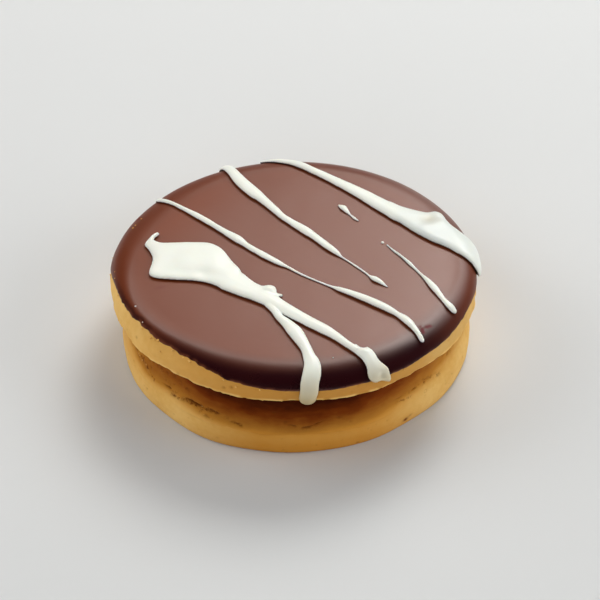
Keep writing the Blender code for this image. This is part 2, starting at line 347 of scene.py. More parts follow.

# %% [markdown]
# ## The baked crumb
#
# Both biscuits are the same shortcrust: pale gold, matt, a little darker where it
# caught the oven, with small holes left by butter. Big lumps and holes belong in the
# shape, so they are pushed into the sheets of points further down. The finish adds what
# is too small for that: cloudy colour, grain, and painted shade in the hole bottoms.
# The meshes carry marks for it: one for the side facing the camera, painted deeper gold
# and darker as warm bounced light and shade; one for how much oven it had; one for the
# painted shade in the holes; and one where caramel has stained it.

# %% Biscuit finish
PALE_CRUMB = rgb(0.86, 0.56, 0.19)
GOLD_CRUMB = rgb(0.74, 0.42, 0.11)
# deep gold that paints warm bounced light and shade on the side facing the camera
WARM_SHADE_GOLD = rgb(0.62, 0.27, 0.038)
OVEN_BROWN = rgb(0.21, 0.052, 0.009)
# painted shade in the bottoms of holes
PIT_SHADE_BROWN = rgb(0.30, 0.12, 0.022)
CARAMEL_STAIN = rgb(0.25, 0.075, 0.008)
CLOUD_SIZE = 9 * MM
FLECK_SIZE = 1.2 * MM


def crumb_colour(finish):
    """Cloudy gold, with painted warm shade where the mesh marks it, brown where it is browned."""
    clouds = finish.noise(CLOUD_SIZE)
    flecks = finish.noise(FLECK_SIZE)
    tone = clouds * 0.75 + flecks * 0.25
    crumb = finish.mix(finish.step(tone, 0.30, 0.70), GOLD_CRUMB, PALE_CRUMB)
    # painted warm bounced light and shade: deeper gold and darker
    golden = finish.mark("golden") + clouds * 0.5 - 0.25
    crumb = finish.mix(golden.clamped(), crumb, WARM_SHADE_GOLD)
    browned = finish.mark("browned")
    spread = (browned * (flecks * 0.6 + 0.8)).clamped()
    return finish.mix(spread, crumb, OVEN_BROWN)


def make_biscuit_finish():
    """The crumb with painted shade in its hole bottoms, and a stain where caramel touches it."""
    finish = Finish("shortcrust", {"Roughness": 0.75, "Specular IOR Level": 0.12})
    crumb = crumb_colour(finish)
    crumb = finish.mix(finish.mark("soaked").clamped(), crumb, CARAMEL_STAIN)
    # painted shade in the holes
    crumb = finish.mix(finish.mark("hole").clamped(), crumb, PIT_SHADE_BROWN)
    finish.shade("Base Color", crumb)
    grain = finish.bump(finish.noise(0.35 * MM, 2.0, 0.6), 0.02 * MM)
    finish.shade("Normal", finish.bump(finish.noise(1.6 * MM), 0.04 * MM, grain))
    return finish


biscuit_finish = make_biscuit_finish()
print("nodes in the crumb's finish:", len(biscuit_finish.tree.nodes))

# %% [markdown]
# ## The lower biscuit
#
# It is a disc with a softly bulging side, a rounded shoulder and a flat underside. It
# isn't quite round, and on the right the dough spread a little further. The profile is
# a smooth curve through ten points; each ring is that radius plus a few slow waves.
# Holes and lumps are then pushed along the surface's own direction, and fade out
# underneath, where the baking sheet kept it flat. Its foot is burnt at one small spot.


# %% Bells and easing
def bell(value, centre, width):
    """1 at the centre and falling off on both sides as exp(-((value - centre)/width)²)."""
    return np.exp(-(((value - centre) / width) ** 2))


def ease(value, low, high):
    """0 below `low`, 1 above `high`, and 3t² - 2t³ between them."""
    t = np.clip((value - low) / (high - low), 0.0, 1.0)
    return t * t * (3 - 2 * t)


def degrees_off(angle, centre):
    """How far a direction in radians is from one in degrees, from -180 to 180."""
    return (np.degrees(angle) - centre + 180.0) % 360.0 - 180.0


def around_bell(angle, centre, width):
    """A bell round the turn: 1 at the direction `centre`, both given in degrees."""
    return bell(degrees_off(angle, centre), 0.0, width)


print("a bell, one width out:", round(float(bell(1.0, 0.0, 1.0)), 3))

# %% Measures of the lower biscuit
LOWER_RADIUS = 38.3 * MM
LOWER_WAVES = ((3, 0.40, 234), (8, 0.12, 20), (13, 0.08, 75))
LOWER_BULGE = (354, 26, 0.55 * MM)  # where the dough spread, in degrees, and how far
LOWER_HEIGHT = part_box("bottom_biscuit")[1].z
LOWER_PROFILE = MM * np.array([  # inset from the radius and height, in millimetres
    (2.2, 0.0), (0.7, 0.0), (0.1, 0.35), (0.0, 1.4), (-0.1, 3.2), (0.15, 5.2), (0.6, 6.8),
    (1.4, 8.1), (2.7, 8.7), (4.4, LOWER_HEIGHT / MM),
])
HIDDEN_RINGS = np.array([8, 14, 22]) * MM  # insets of the rings under the filling
WARM_SHADE_SIDE = 277  # the side facing the camera, where warm shade is painted deepest, in degrees
WARM_SHADE_FADE = (14, 50)  # degrees off it, between which the painted warm shade fades out
PAINTED_LIGHT_BELT = (4.2 * MM, 1.6 * MM)  # height and half height of a painted lighter band in the warm shade
LEFT_GOLD = (200, 26)  # direction and width of a second patch of painted warm glow, in degrees
LEFT_GOLD_BELT = (6.5 * MM, 2.6 * MM)
BROWNED_FOOT = 0.9 * MM  # height of the darker line along its foot
SMOOTH_FOOT = 0.8 * MM  # below this height the baking sheet kept it smooth
BURNT_SPOTS = (  # direction and width in degrees, height and how tall, how dark
    (309.5, 0.9, 1.7 * MM, 0.45 * MM, 1.1),
    (311.4, 0.8, 2.2 * MM, 0.35 * MM, 0.4),
)
SOAKED_BELT = (6.5 * MM, 8.5 * MM)  # between these heights the caramel's stain grows
CRUMB_LUMPS = ((7, 0.10), (2.2, 0.045), (0.8, 0.022))  # size and height, in millimetres
LOWER_HOLES = (2.6 * MM, 0.28 * MM, 0.35)  # spacing, radius, share of places
LOWER_SPECKS = (0.9 * MM, 0.13 * MM, 0.25)
HOLE_DEPTH = 0.30 * MM
SPECK_DEPTH = 0.10 * MM
SIDE_STEP = 0.16 * MM
UNDERSIDE_STEP = 2.6 * MM
print("lower biscuit, mm: radius", LOWER_RADIUS / MM, "height", round(LOWER_HEIGHT / MM, 2))


# %% Lower biscuit
def facing_front(angle):
    """1 on the side facing the camera, where warm shade is painted, 0 on the other sides."""
    return 1.0 - ease(np.abs(degrees_off(angle, WARM_SHADE_SIDE)), *WARM_SHADE_FADE)


def warm_shade_at(angle, height):
    """How much warm shade is painted on the sides of the lower biscuit and the filling."""
    # less of it in a band where the side bulges towards the light: a painted highlight
    front = facing_front(angle) * (1.0 - 0.15 * bell(height, *PAINTED_LIGHT_BELT))
    return front + 0.45 * around_bell(angle, *LEFT_GOLD) * bell(height, *LEFT_GOLD_BELT)


def lower_unevenness():
    """How far the lower biscuit's edge is off a circle, in each direction."""
    side, width, more = LOWER_BULGE
    return waviness(TURN, LOWER_WAVES) + more * around_bell(TURN, side, width)


def make_lower_biscuit():
    """Turn the profile round the axis, then push holes and lumps into it."""
    profile = smooth_path(LOWER_PROFILE, SIDE_STEP)
    middle = np.arange(LOWER_PROFILE[0, 0] + UNDERSIDE_STEP, 0.9 * LOWER_RADIUS, UNDERSIDE_STEP)
    under = np.stack([middle[::-1], 0 * middle], -1)
    above = np.stack([HIDDEN_RINGS, 0 * HIDDEN_RINGS + LOWER_HEIGHT], -1)
    inset, height = np.vstack([under, profile, above]).T[:, :, None]
    radius = LOWER_RADIUS - inset + lower_unevenness()
    rings = np.stack([radius * np.cos(TURN), radius * np.sin(TURN), height + 0 * radius], -1)
    free = ease(rings[..., 2], 0.0, SMOOTH_FOOT)
    holes = pits(rings, *LOWER_HOLES, seed=11)
    specks = pits(rings, *LOWER_SPECKS, seed=12)
    push = lumps(rings, CRUMB_LUMPS, 20) - HOLE_DEPTH * holes - SPECK_DEPTH * specks
    rings = rings + outward(rings) * (push * free)[..., None]
    rings[..., 2] = np.clip(rings[..., 2], 0.0, None)
    burnt = sum(
        dark * around_bell(TURN, side, width) * bell(height, level, tall)
        for side, width, level, tall, dark in BURNT_SPOTS
    )
    marks = {
        # painted shade in the holes and specks
        "hole": 0.7 * holes + 0.4 * specks,
        "browned": 0.30 * bell(height, 0.0, BROWNED_FOOT) + burnt,
        # painted warm bounced light and shade, strongest on the side facing the camera
        "golden": warm_shade_at(TURN, height),
        "soaked": np.broadcast_to(ease(height, *SOAKED_BELT), holes.shape),
    }
    return turned_sheet("lower_biscuit", rings, marks, biscuit_finish)


lower_biscuit = make_lower_biscuit()
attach(lower_biscuit, "root")
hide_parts("bottom_biscuit")

# %% [markdown]
# ## The top biscuit's map
#
# The chocolate, the bare side under it and the drizzle all follow one surface: flat on
# top, round a quarter ellipse at the shoulder, then straight down to the rim. It is
# easiest to think of it rolled out flat, like the skin of a drum cut off and pressed on
# a table. `top_surface` takes places on that flat map, and a lift above them, and
# rolls them back on. The whole top is a little oval and sits at a slight tilt.

# %% Top surface
TOP_RADIUS = 40.0 * MM
TOP_THICKNESS = 6.3 * MM  # lower rim to the flat of the chocolate
TOP_RIM_HEIGHT = 14.8 * MM
TOP_SHIFT = 0.5 * MM  # towards +Y
TOP_SLOPE = (0.007, -0.035)  # rise along +X and along +Y
TOP_OVAL = 0.985
TOP_CROWN = 0.4 * MM  # how much lower the flat lies at its edge than in its middle
SHOULDER_WIDTH = 5.7 * MM
SIDE_HEIGHT = 2.4 * MM
RIM_WAVES = ((9, 0.20, 254), (17, 0.12, 8))
TIGHT_SIDES = (  # direction and width in degrees, and how much narrower the shoulder is
    (208, 26, 2.5 * MM), (358, 20, 1.5 * MM), (148, 24, -1.6 * MM),
)
FLAT_RADIUS = TOP_RADIUS - SHOULDER_WIDTH
SHOULDER_RISE = TOP_THICKNESS - SIDE_HEIGHT
QUARTER = np.linspace(0.0, RIGHT_ANGLE, 200)
SHOULDER_END = FLAT_RADIUS + np.hypot(
    np.diff(SHOULDER_WIDTH * np.sin(QUARTER)), np.diff(SHOULDER_RISE * np.cos(QUARTER))
).sum()
RIM_REACH = SHOULDER_END + SIDE_HEIGHT
print(f"over the top, mm: shoulder ends at {SHOULDER_END / MM:.1f}, rim at {RIM_REACH / MM:.1f}")


def rim_plane(x, y):
    """Height of the tilted plane that the top biscuit's rim lies in."""
    return TOP_RIM_HEIGHT + TOP_SLOPE[0] * x + TOP_SLOPE[1] * y


def tightness(angle):
    """How much further the flat goes on in each direction, and below 0 how much less."""
    return sum(more * around_bell(angle, side, width) for side, width, more in TIGHT_SIDES)


def top_surface(u, v, lift):
    """Points `lift` above the top's outer surface, for places (u, v) on its map.

    The distance from the map's middle is walked over the flat, then round the quarter
    ellipse (width sin a, rise cos a), then straight down. Each point is pushed out
    along the surface's own direction and then tilted with the biscuit. On the tight
    sides the flat goes on further, and the ellipse is that much narrower; on the loose
    side it is the other way round. The flat sags by TOP_CROWN (distance / radius)⁴, and
    the side waves more the further down it is.
    """
    reach = np.maximum(np.hypot(u, v), 1e-9)
    angle = np.arctan2(v, u)
    tight = tightness(angle)
    flat = FLAT_RADIUS + tight
    swing = np.clip((reach - flat) / (SHOULDER_END - flat), 0, 1) * RIGHT_ANGLE
    radius = np.minimum(reach, flat) + (SHOULDER_WIDTH - tight) * np.sin(swing)
    height = SIDE_HEIGHT + SHOULDER_RISE * np.cos(swing) - np.maximum(reach - SHOULDER_END, 0)
    sag = (reach / FLAT_RADIUS) ** 4 * (1.0 - ease(reach, FLAT_RADIUS, RIM_REACH))
    height = height - TOP_CROWN * sag
    out, up = SHOULDER_RISE * np.sin(swing), SHOULDER_WIDTH * np.cos(swing)
    length = np.hypot(out, up)
    down = np.clip((reach - FLAT_RADIUS) / (RIM_REACH - FLAT_RADIUS), 0, 1)
    radius = radius + waviness(angle, RIM_WAVES) * down**3 + lift * out / length
    height = height + lift * up / length
    x = u / reach * radius
    y = v / reach * radius * TOP_OVAL + TOP_SHIFT
    return np.stack([x, y, rim_plane(x, y) + height], -1)


def top_rings(reach, lift):
    """Rings round the map's middle, one for each row of `reach` and `lift`."""
    reach, lift = np.broadcast_arrays(reach + 0 * TURN, lift + 0 * TURN)
    return top_surface(reach * np.cos(TURN), reach * np.sin(TURN), lift)


def ring_points(angle):
    """Directions as points on a circle, for noise that goes round an edge."""
    return TOP_RADIUS * np.stack([np.cos(angle), np.sin(angle), 0 * angle], -1)


ROUND_EDGE = ring_points(TURN)

# %% [markdown]
# ## The caramel
#
# The layer between the biscuits is soft milk caramel. It was squeezed out until it
# stood nearly level with them, and then smeared down over the lower biscuit's shoulder,
# so there is no clean line where one stops and the other starts: only a row of small
# tears. Shade is painted into its colour: darkest deep under the top biscuit's overhang
# and on the side facing the camera, and in its tears and scratches. The profile leans in
# towards the top, and its foot dives into the shoulder below.

# %% Caramel finish
CARAMEL_SHADE_TONES = (  # from the smear at its foot to painted shade, nearly black, under the overhang
    (0.0, (0.62, 0.27, 0.038)),
    (0.17, (0.42, 0.168, 0.023)),
    (0.30, (0.28, 0.085, 0.010)),
    (0.45, (0.17, 0.034, 0.003)),
    (0.60, (0.10, 0.016, 0.0012)),
    (0.80, (0.045, 0.006, 0.0005)),
    (1.0, (0.025, 0.003, 0.0002)),
)
# painted shade in the tears, scratches and holes
TEAR_SHADE_BROWN = rgb(0.14, 0.04, 0.005)


def make_caramel_finish():
    """The biscuit's crumb at the foot, where it is mixed in, and painted shade on caramel above it.
    """
    finish = Finish("milk_caramel", {"Specular IOR Level": 0.04})
    clouds = finish.noise(5 * MM, 3.0, 0.55, (1.0, 1.0, 2.5))
    crumb = crumb_colour(finish)
    # painted shade, deepening towards the overhang and on the side facing the camera
    tone = finish.mark("tone") * (clouds * 0.8 + 0.6)
    body = finish.node("ValToRGB", {"stops": CARAMEL_SHADE_TONES}, {"Fac": tone})
    body = finish.mix(finish.step(tone, 0.0, 0.14), crumb, body)
    # painted shade in the tears, scratches and holes, and along the torn lines
    body = finish.mix(finish.mark("hole").clamped(), body, TEAR_SHADE_BROWN)
    torn = finish.mark("torn").clamped()
    fray = finish.noise(0.9 * MM, 4.0, 0.65)
    body = finish.mix(finish.step(fray, 0.50, 0.40) * torn, body, TEAR_SHADE_BROWN)
    lifted = finish.step(fray, 0.60, 0.70) * finish.step(torn, 0.45, 0.85)
    body = finish.mix(lifted * 0.5, body, PALE_CRUMB)
    finish.shade("Base Color", body)
    finish.shade("Roughness", 0.7 - clouds * 0.2)
    grain = finish.bump(finish.noise(0.5 * MM, 2.0, 0.6), 0.03 * MM)
    grain = finish.bump(fray * torn, 0.25 * MM, grain)
    drawn = finish.noise(1.8 * MM, 3.0, stretch=(1.0, 1.0, 0.5))
    finish.shade("Normal", finish.bump(drawn, 0.06 * MM, grain))
    return finish


caramel_finish = make_caramel_finish()
print("nodes in the caramel's finish:", len(caramel_finish.tree.nodes))

# %% Measures of the caramel
FILLING_WAVES = ((2, 0.20, 195), (7, 0.12, 40), (15, 0.08, 5))
FILLING_FOOT = 4.9 * MM
FILLING_PROFILE = np.array([  # share of the way from the foot to the rim's plane, radius
    (0.0, 38.0), (0.05, 38.22), (0.12, 38.12), (0.22, 37.9), (0.33, 37.6), (0.45, 37.3),
    (0.60, 36.9), (0.80, 36.4), (0.97, 35.8), (1.02, 34.0),
]) * [1, MM]
FILLING_SHARES = np.concatenate([  # of its rings, which are closest round the seam
    np.arange(0.0, 0.26, 0.018), np.arange(0.26, 0.50, 0.007), np.linspace(0.50, 1.02, 40)
])
OWN_EDGE = (0.10, 0.50)  # shares between which it leaves the lower biscuit's outline
SEAM_SHARE = 0.35
TEAR_SPANS = ((228, 3), (238, 6), (274, 4.5), (287, 2), (314, 6), (30, 20), (120, 25))
LOW_SEAM = (275, 6)  # where the row of tears dips
LOW_SEAM_DROP = 0.13
CARAMEL_SHADE_SIDE = 271  # the direction in which painted shade on the caramel is darkest
LEFT_CARAMEL_SHADE = (216, 11)  # a second place where shade is painted on it
LEFT_CARAMEL_SHADE_BELT = (0.42, 0.20)
SQUEEZED_SPAN = (354, 22)  # where the filling was squeezed out furthest
SQUEEZED_BELT = (0.85, 0.45)  # the share there and its half height
SQUEEZED_OUT = 1.7 * MM
FILLING_LUMPS = ((6, 0.14), (1.8, 0.05), (0.7, 0.02))
FILLING_HOLES = (2.2 * MM, 0.28 * MM, 0.30)
FILLING_HOLE_DEPTH = 0.25 * MM
TEAR_DEPTH = 0.40 * MM
LIP_RISE = 0.10 * MM  # of the caramel just under a tear
SCRATCH_DEPTH = 0.20 * MM
print("rings of caramel:", len(FILLING_SHARES))

# %% Torn lines
TORN_LINES = (  # direction and share at both ends, half width in mm, how deep
    (206, 0.44, 211, 0.37, 0.45, 1.0), (211, 0.44, 219, 0.25, 0.40, 1.0),
    (213, 0.66, 222, 0.58, 0.50, 0.6), (221, 0.60, 226, 0.40, 0.45, 0.6),
    (227, 0.66, 234, 0.50, 0.45, 0.5), (228, 0.23, 232, 0.26, 0.30, 0.9),
    (233, 0.29, 246, 0.33, 0.38, 1.0), (240, 0.22, 244, 0.15, 0.30, 0.7),
    (249, 0.26, 254, 0.17, 0.35, 0.7), (318, 0.42, 326, 0.26, 0.40, 0.6),
    (306, 0.25, 312, 0.20, 0.30, 0.6), (328, 0.60, 334, 0.44, 0.40, 0.5),
    (40, 0.50, 52, 0.40, 0.40, 0.8), (90, 0.30, 101, 0.36, 0.40, 0.8),
    (142, 0.55, 150, 0.40, 0.40, 0.8),
)
MM_PER_DEGREE = 37.5 * math.pi / 180  # round the wall
FILLING_RISE = 9.9  # millimetres from its foot to the rim


def torn_area(share):
    """1 on the lines where the filling was torn, and a bell's fall-off beside them.

    The wall is rolled out flat, as millimetres round it and millimetres up it, and a
    place is as far off a line as it is from the nearest point of it.
    """
    torn = np.zeros(np.broadcast_shapes(share.shape, TURN.shape))
    for turn_a, share_a, turn_b, share_b, half, strength in TORN_LINES:
        along = degrees_off(TURN, turn_a) * MM_PER_DEGREE
        up = (share - share_a) * FILLING_RISE
        run = np.array([(turn_b - turn_a) * MM_PER_DEGREE, (share_b - share_a) * FILLING_RISE])
        at = np.clip((along * run[0] + up * run[1]) / (run @ run), 0.0, 1.0)
        off = np.hypot(along - at * run[0], up - at * run[1])
        torn = np.maximum(torn, strength * bell(off, 0.0, half))
    return torn


print("torn lines:", len(TORN_LINES))


# %% Caramel layer
def make_filling():
    """Turn the leaning profile, then tear its seam and scratch it along the torn lines."""
    share = FILLING_SHARES[:, None]
    given = smooth_path(FILLING_PROFILE, 0.01)
    radius = np.interp(share, given[:, 0], given[:, 1])
    own = ease(share, *OWN_EDGE)
    radius = radius + own * waviness(TURN, FILLING_WAVES) + (1.0 - own) * lower_unevenness()
    squeezed = around_bell(TURN, *SQUEEZED_SPAN) * bell(share, *SQUEEZED_BELT)
    radius = radius + SQUEEZED_OUT * squeezed
    x, y = radius * np.cos(TURN), radius * np.sin(TURN)
    height = FILLING_FOOT + share * (rim_plane(x, y) - FILLING_FOOT)
    rings = np.stack([x, y, height], -1)
    torn = sum(around_bell(TURN, centre, width) for centre, width in TEAR_SPANS)
    wander = 0.04 * speckle(ROUND_EDGE, 7 * MM, 31) + 0.01 * speckle(ROUND_EDGE, MM, 35)
    broken = ease(speckle(ROUND_EDGE, 1.6 * MM, 32), -0.30, 0.05)
    broken = broken * np.clip(1.3 * torn, 0, 1)
    seam = SEAM_SHARE + wander - LOW_SEAM_DROP * around_bell(TURN, *LOW_SEAM)
    tear = bell(share, seam, 0.014) * broken
    lip = bell(share, seam - 0.03, 0.018) * broken
    scratches = ease(speckle(rings, 0.7 * MM, 33), -0.1, 0.3) * torn_area(share)
    holes = pits(rings, *FILLING_HOLES, seed=34)
    push = lumps(rings, FILLING_LUMPS, 40) - TEAR_DEPTH * tear + LIP_RISE * lip
    push = push - SCRATCH_DEPTH * scratches - FILLING_HOLE_DEPTH * holes
    rings = rings + outward(rings) * push[..., None]
    # painted shade: growing towards the overhang, darkest on the side facing the camera, with a
    # second patch on the left
    tone = share * around_bell(TURN, CARAMEL_SHADE_SIDE, 26 + 32 * share) + 0.12 * share
    left = around_bell(TURN, *LEFT_CARAMEL_SHADE) * bell(share, *LEFT_CARAMEL_SHADE_BELT)
    marks = {
        "tone": tone + 0.13 * left,
        # painted warm bounced light and shade, strongest on the side facing the camera
        "golden": warm_shade_at(TURN, height),
        "browned": np.zeros(height.shape),
        # painted shade in the tears, scratches and holes
        "hole": np.clip(0.9 * tear + 0.6 * scratches + 0.5 * holes, 0, 1),
        "torn": torn_area(share) + 0.4 * bell(share, seam, 0.05) * np.clip(torn, 0, 1),
    }
    return turned_sheet("caramel_layer", rings, marks, caramel_finish)


caramel_layer = make_filling()
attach(caramel_layer, "root")
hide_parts("filling")

# %% [markdown]
# ## The top biscuit
#
# Only its lower rim shows, as a pale band under the chocolate. The rim was cut with a
# round cutter, so its corner is crisp, but crumbs broke off it here and there. The
# rings go from the hidden underside, round a small quarter circle at the corner, up the
# bare side, and in under the chocolate.

# %% Edge of the chocolate
SKIN_THICKNESS = 1.1 * MM
SKIN_PROUD = 0.15 * MM  # how far the chocolate's edge stands out from the bare side
SKIN_REACH = np.array([  # direction in degrees, and how far from the map's middle it ends
    (0, 41.2), (40, 40.6), (90, 40.2), (130, 40.5), (165, 41.2), (180, 41.3), (186, 40.3),
    (195, 39.3), (208, 39.1), (222, 38.4), (238, 38.6), (250, 39.9), (262, 40.8),
    (280, 41.3), (305, 41.0), (325, 40.6), (340, 40.3), (351, 41.1), (360, 41.2),
]) * [1, MM]
SKIN_RAGS = ((2.4, 0.22), (0.9, 0.14))
RAGGED_SPAN = (228, 26)  # where the chocolate's edge is most ragged


def skin_reach(angle):
    """How far over the shoulder the chocolate comes, in each direction."""
    stations = smooth_path(SKIN_REACH, 2.0)
    slow = np.interp(np.degrees(angle) % 360.0, stations[:, 0], stations[:, 1])
    ragged = lumps(ring_points(angle), SKIN_RAGS, 50)
    return slow + ragged * (0.6 + 0.9 * around_bell(angle, *RAGGED_SPAN))


print("the edge goes up and down by, mm:", round(float(np.ptp(skin_reach(TURN))) / MM, 1))

# %% Top biscuit
RIM_CORNER = 0.20 * MM
RIM_SHORT = 0.10 * MM  # how much the bare rim lacks of the map's full reach
RIM_LUMPS = ((4, 0.14), (0.7, 0.05))
CHIP_DEPTH = 0.16 * MM
NICKED_SPAN = (307, 5)
NICK_DEPTH = 0.45 * MM
RIM_HOLES = (1.9 * MM, 0.24 * MM, 0.30)
RIM_HOLE_DEPTH = 0.24 * MM
FLAKE_RISE = 0.06 * MM
FOOT_PROUD = 0.22 * MM  # how far the rim's foot stands out, and how high it reaches
FOOT_HEIGHT = 1.1 * MM
UNDER_SKIN = 1.2 * MM  # how far the bare side goes on under the chocolate
SINK_START = 0.4 * MM
SINK_DEPTH = 0.35 * MM
RIM_GOLD = (233, 18)  # directions and widths of a stretch of painted warm shade, and of a darker one
RIM_DARKER = (303, 42)
LIP_HIGHLIGHT_BELT = (0.80 * MM, 0.40 * MM)  # between these heights the painted warm shade is left off: a painted pale highlight
UNDERSIDE_LIFTS = -MM * np.array([[20], [12], [8], [5], [3], [1.6], [0.9], [0.5]])
INNER_SHARES = np.array([[0.9], [0.75], [0.5], [0.25]])
CORNER = np.linspace(0.0, RIGHT_ANGLE, 7)[:, None]


def make_top_biscuit():
    """Rings over the underside, the corner, the bare side and under the chocolate."""
    edge = skin_reach(TURN)
    chips = ease(speckle(ROUND_EDGE, 1.2 * MM, 61), 0.35, 0.85)
    nick = NICK_DEPTH * around_bell(TURN, *NICKED_SPAN)
    rim = RIM_REACH - RIM_SHORT - CHIP_DEPTH * chips - lumps(ROUND_EDGE, RIM_LUMPS, 62) - nick
    foot = FOOT_PROUD * ease(speckle(ROUND_EDGE, 2.2 * MM, 65), -0.8, 0.4)
    corner_reach = rim - RIM_CORNER + RIM_CORNER * np.cos(CORNER)
    corner_lift = foot - RIM_CORNER + RIM_CORNER * np.sin(CORNER)
    up_side = np.linspace(0.0, 1.0, 22)[1:, None]
    side_reach = rim - RIM_CORNER + up_side * (edge - UNDER_SKIN - rim + RIM_CORNER)
    side_lift = foot * ease(side_reach, rim - FOOT_HEIGHT, rim - RIM_CORNER)
    side_lift = side_lift - SINK_DEPTH * ease(side_reach, edge - SINK_START, edge - UNDER_SKIN)
    rings = np.vstack([
        top_rings(rim, UNDERSIDE_LIFTS),
        top_rings(corner_reach, corner_lift),
        top_rings(side_reach, side_lift),
        top_rings(INNER_SHARES * FLAT_RADIUS, -SKIN_THICKNESS),
    ])
    holes = pits(rings, *RIM_HOLES, seed=63)
    flakes = ease(speckle(rings * [1, 1, 2], 0.8 * MM, 64), 0.3, 0.8)
    push = lumps(rings, CRUMB_LUMPS, 70) - RIM_HOLE_DEPTH * holes + FLAKE_RISE * flakes
    push[-len(INNER_SHARES):] = 0.0
    rings = rings + outward(rings) * push[..., None]
    height = rings[..., 2] - rim_plane(rings[..., 0], rings[..., 1])
    # a patchy pale line along the rim's lower edge: a painted highlight, where the painted warm
    # shade is left off
    lip_highlight = ease(height, *LIP_HIGHLIGHT_BELT) * ease(speckle(rings, 1.4 * MM, 66), -0.6, 0.2)
    # painted warm shade on the side facing the camera and at the front left
    rim_warm_shade = 0.75 * facing_front(TURN) + 0.45 * around_bell(TURN, *RIM_GOLD)
    marks = {
        # painted shade in the holes
        "hole": 0.6 * holes,
        # darker towards the front right
        "browned": 0.22 * around_bell(TURN, *RIM_DARKER) * (1.0 - lip_highlight),
        "golden": rim_warm_shade * (1.0 - lip_highlight),
        "soaked": 0.8 * ease(-height, -0.05 * MM, 0.3 * MM),
    }
    return turned_sheet("upper_biscuit", rings, marks, biscuit_finish)


upper_biscuit = make_top_biscuit()
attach(upper_biscuit, "root")
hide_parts("top_biscuit")

# %% [markdown]
# ## The dark chocolate
#
# The top biscuit was pressed face down into melted chocolate and turned over. On the
# flat the coat is thin and dulled by a fine bloom, so it looks milky brown; it ran and
# gathered at the shoulder, where it is thick and smooth. Shade is painted into the base
# colour there, nearly black, driven by the distance over the shoulder and darkest on the
# side facing the camera. At the rear left the coat is painted redder, with less grey
# sheen, and it is rougher. Its sheen is broad and soft, as the bloom scatters light, and
# duller on the right, where the bloom goes on over the shoulder. The coat is turned like
# the biscuit: over the top, round a bead at the ragged edge, and back underneath.

# %% Dark chocolate finish
BLOOMED = rgb(0.175, 0.038, 0.012)
# nearly black: painted shade on the shoulder
SHADED_SHOULDER = rgb(0.020, 0.0013, 0.0024)
RUBBED = rgb(0.13, 0.006, 0.010)
FEATHERED = rgb(0.16, 0.045, 0.018)  # its thin edge, through which the crumb shows
LESS_SHEEN_COAT = rgb(0.190, 0.034, 0.004)  # redder and less grey: painted as less sheen, at the rear left


def make_chocolate_finish():
    """Milky brown on the flat, painted shade nearly black on the shoulder, and a satin sheen."""
    finish = Finish("dark_chocolate", {"IOR": 1.45})
    clouds = finish.noise(18 * MM)
    smears = finish.noise(3 * MM, 3.0)
    # painted shade over the shoulder, where the thick coat is also smoother
    gathered = finish.mark("gathered")
    tone = (gathered + clouds * 0.16 - 0.08).clamped()
    # painted redder at the rear left, where less sheen shows
    coat = finish.mix(finish.mark("thin"), BLOOMED, LESS_SHEEN_COAT)
    coat = finish.mix(tone, coat, SHADED_SHOULDER)
    coat = finish.mix(finish.mark("feathered").clamped(), coat, FEATHERED)
    finish.shade("Base Color", finish.mix(finish.mark("smudge").clamped(), coat, RUBBED))
    dulled = finish.mark("smudge").clamped() * 0.35
    dulled = dulled + finish.mark("thin") * 0.10 + finish.mark("clouded") * 0.10
    finish.shade("Roughness", 0.36 + smears * 0.06 - gathered * 0.11 + dulled)
    finish.shade("Normal", finish.bump(finish.noise(2.5 * MM, 3.0), 0.012 * MM))
    return finish


chocolate_finish = make_chocolate_finish()
print("nodes in the dark chocolate's finish:", len(chocolate_finish.tree.nodes))

# %% Measures of the coat
SKIN_BEAD = 0.28 * MM  # radius of the rounded edge
SKIN_INSIDE = 0.9 * MM  # how far under the surface the coat's hidden inside lies
# where the painted shade on the shoulder starts and is full
SHADED_SHOULDER_REACH = (FLAT_RADIUS - 2.5 * MM, FLAT_RADIUS + 3.5 * MM)
DARKEST_SHADE_SIDE = 270  # the side facing the camera, where the painted shade is darkest, in degrees
SHADE_FADE = (38, 80)  # degrees off it, between which the painted shade gets lighter
RUN_SPAN = (208, 26)  # where painted shade lies only on the very edge
RUN_INSETS = (2.0 * MM, 0.7 * MM)  # how far in from the edge it starts, and is full
FEATHER_INSETS = (0.9 * MM, -0.1 * MM)
FINE_RINGS = FLAT_RADIUS - 1.5 * MM  # inwards of this its rings lie further apart
LESS_SHEEN_SPAN = (146, 38)  # where it is painted redder and is rougher
LESS_SHEEN_REACH = (18 * MM, 33 * MM)
CLOUDED_SPAN = (346, 30)  # where a cloudy bloom dulls the shoulder
CLOUDED_REACH = (34 * MM, 37 * MM)
COAT_LUMPS = ((13, 0.07), (4, 0.020))
SMUDGES = MM * np.array([  # u, v and size in millimetres
    (26.6, -22.7, 0.45), (26.7, -23.4, 0.50), (26.9, -24.1, 0.40), (27.7, -22.4, 0.45),
    (28.4, -22.0, 0.40), (-28.9, -10.5, 0.5), (-34.9, 16.1, 0.6),
])
BEAD = np.linspace(RIGHT_ANGLE, -RIGHT_ANGLE, 11)[:, None]
print("smudges on the coat:", len(SMUDGES))


# %% Chocolate coat
def spot(u, v, at_u, at_v, radius):
    """A round bell on the map, 1 in its middle."""
    return bell(np.hypot(u - at_u, v - at_v), 0.0, radius)


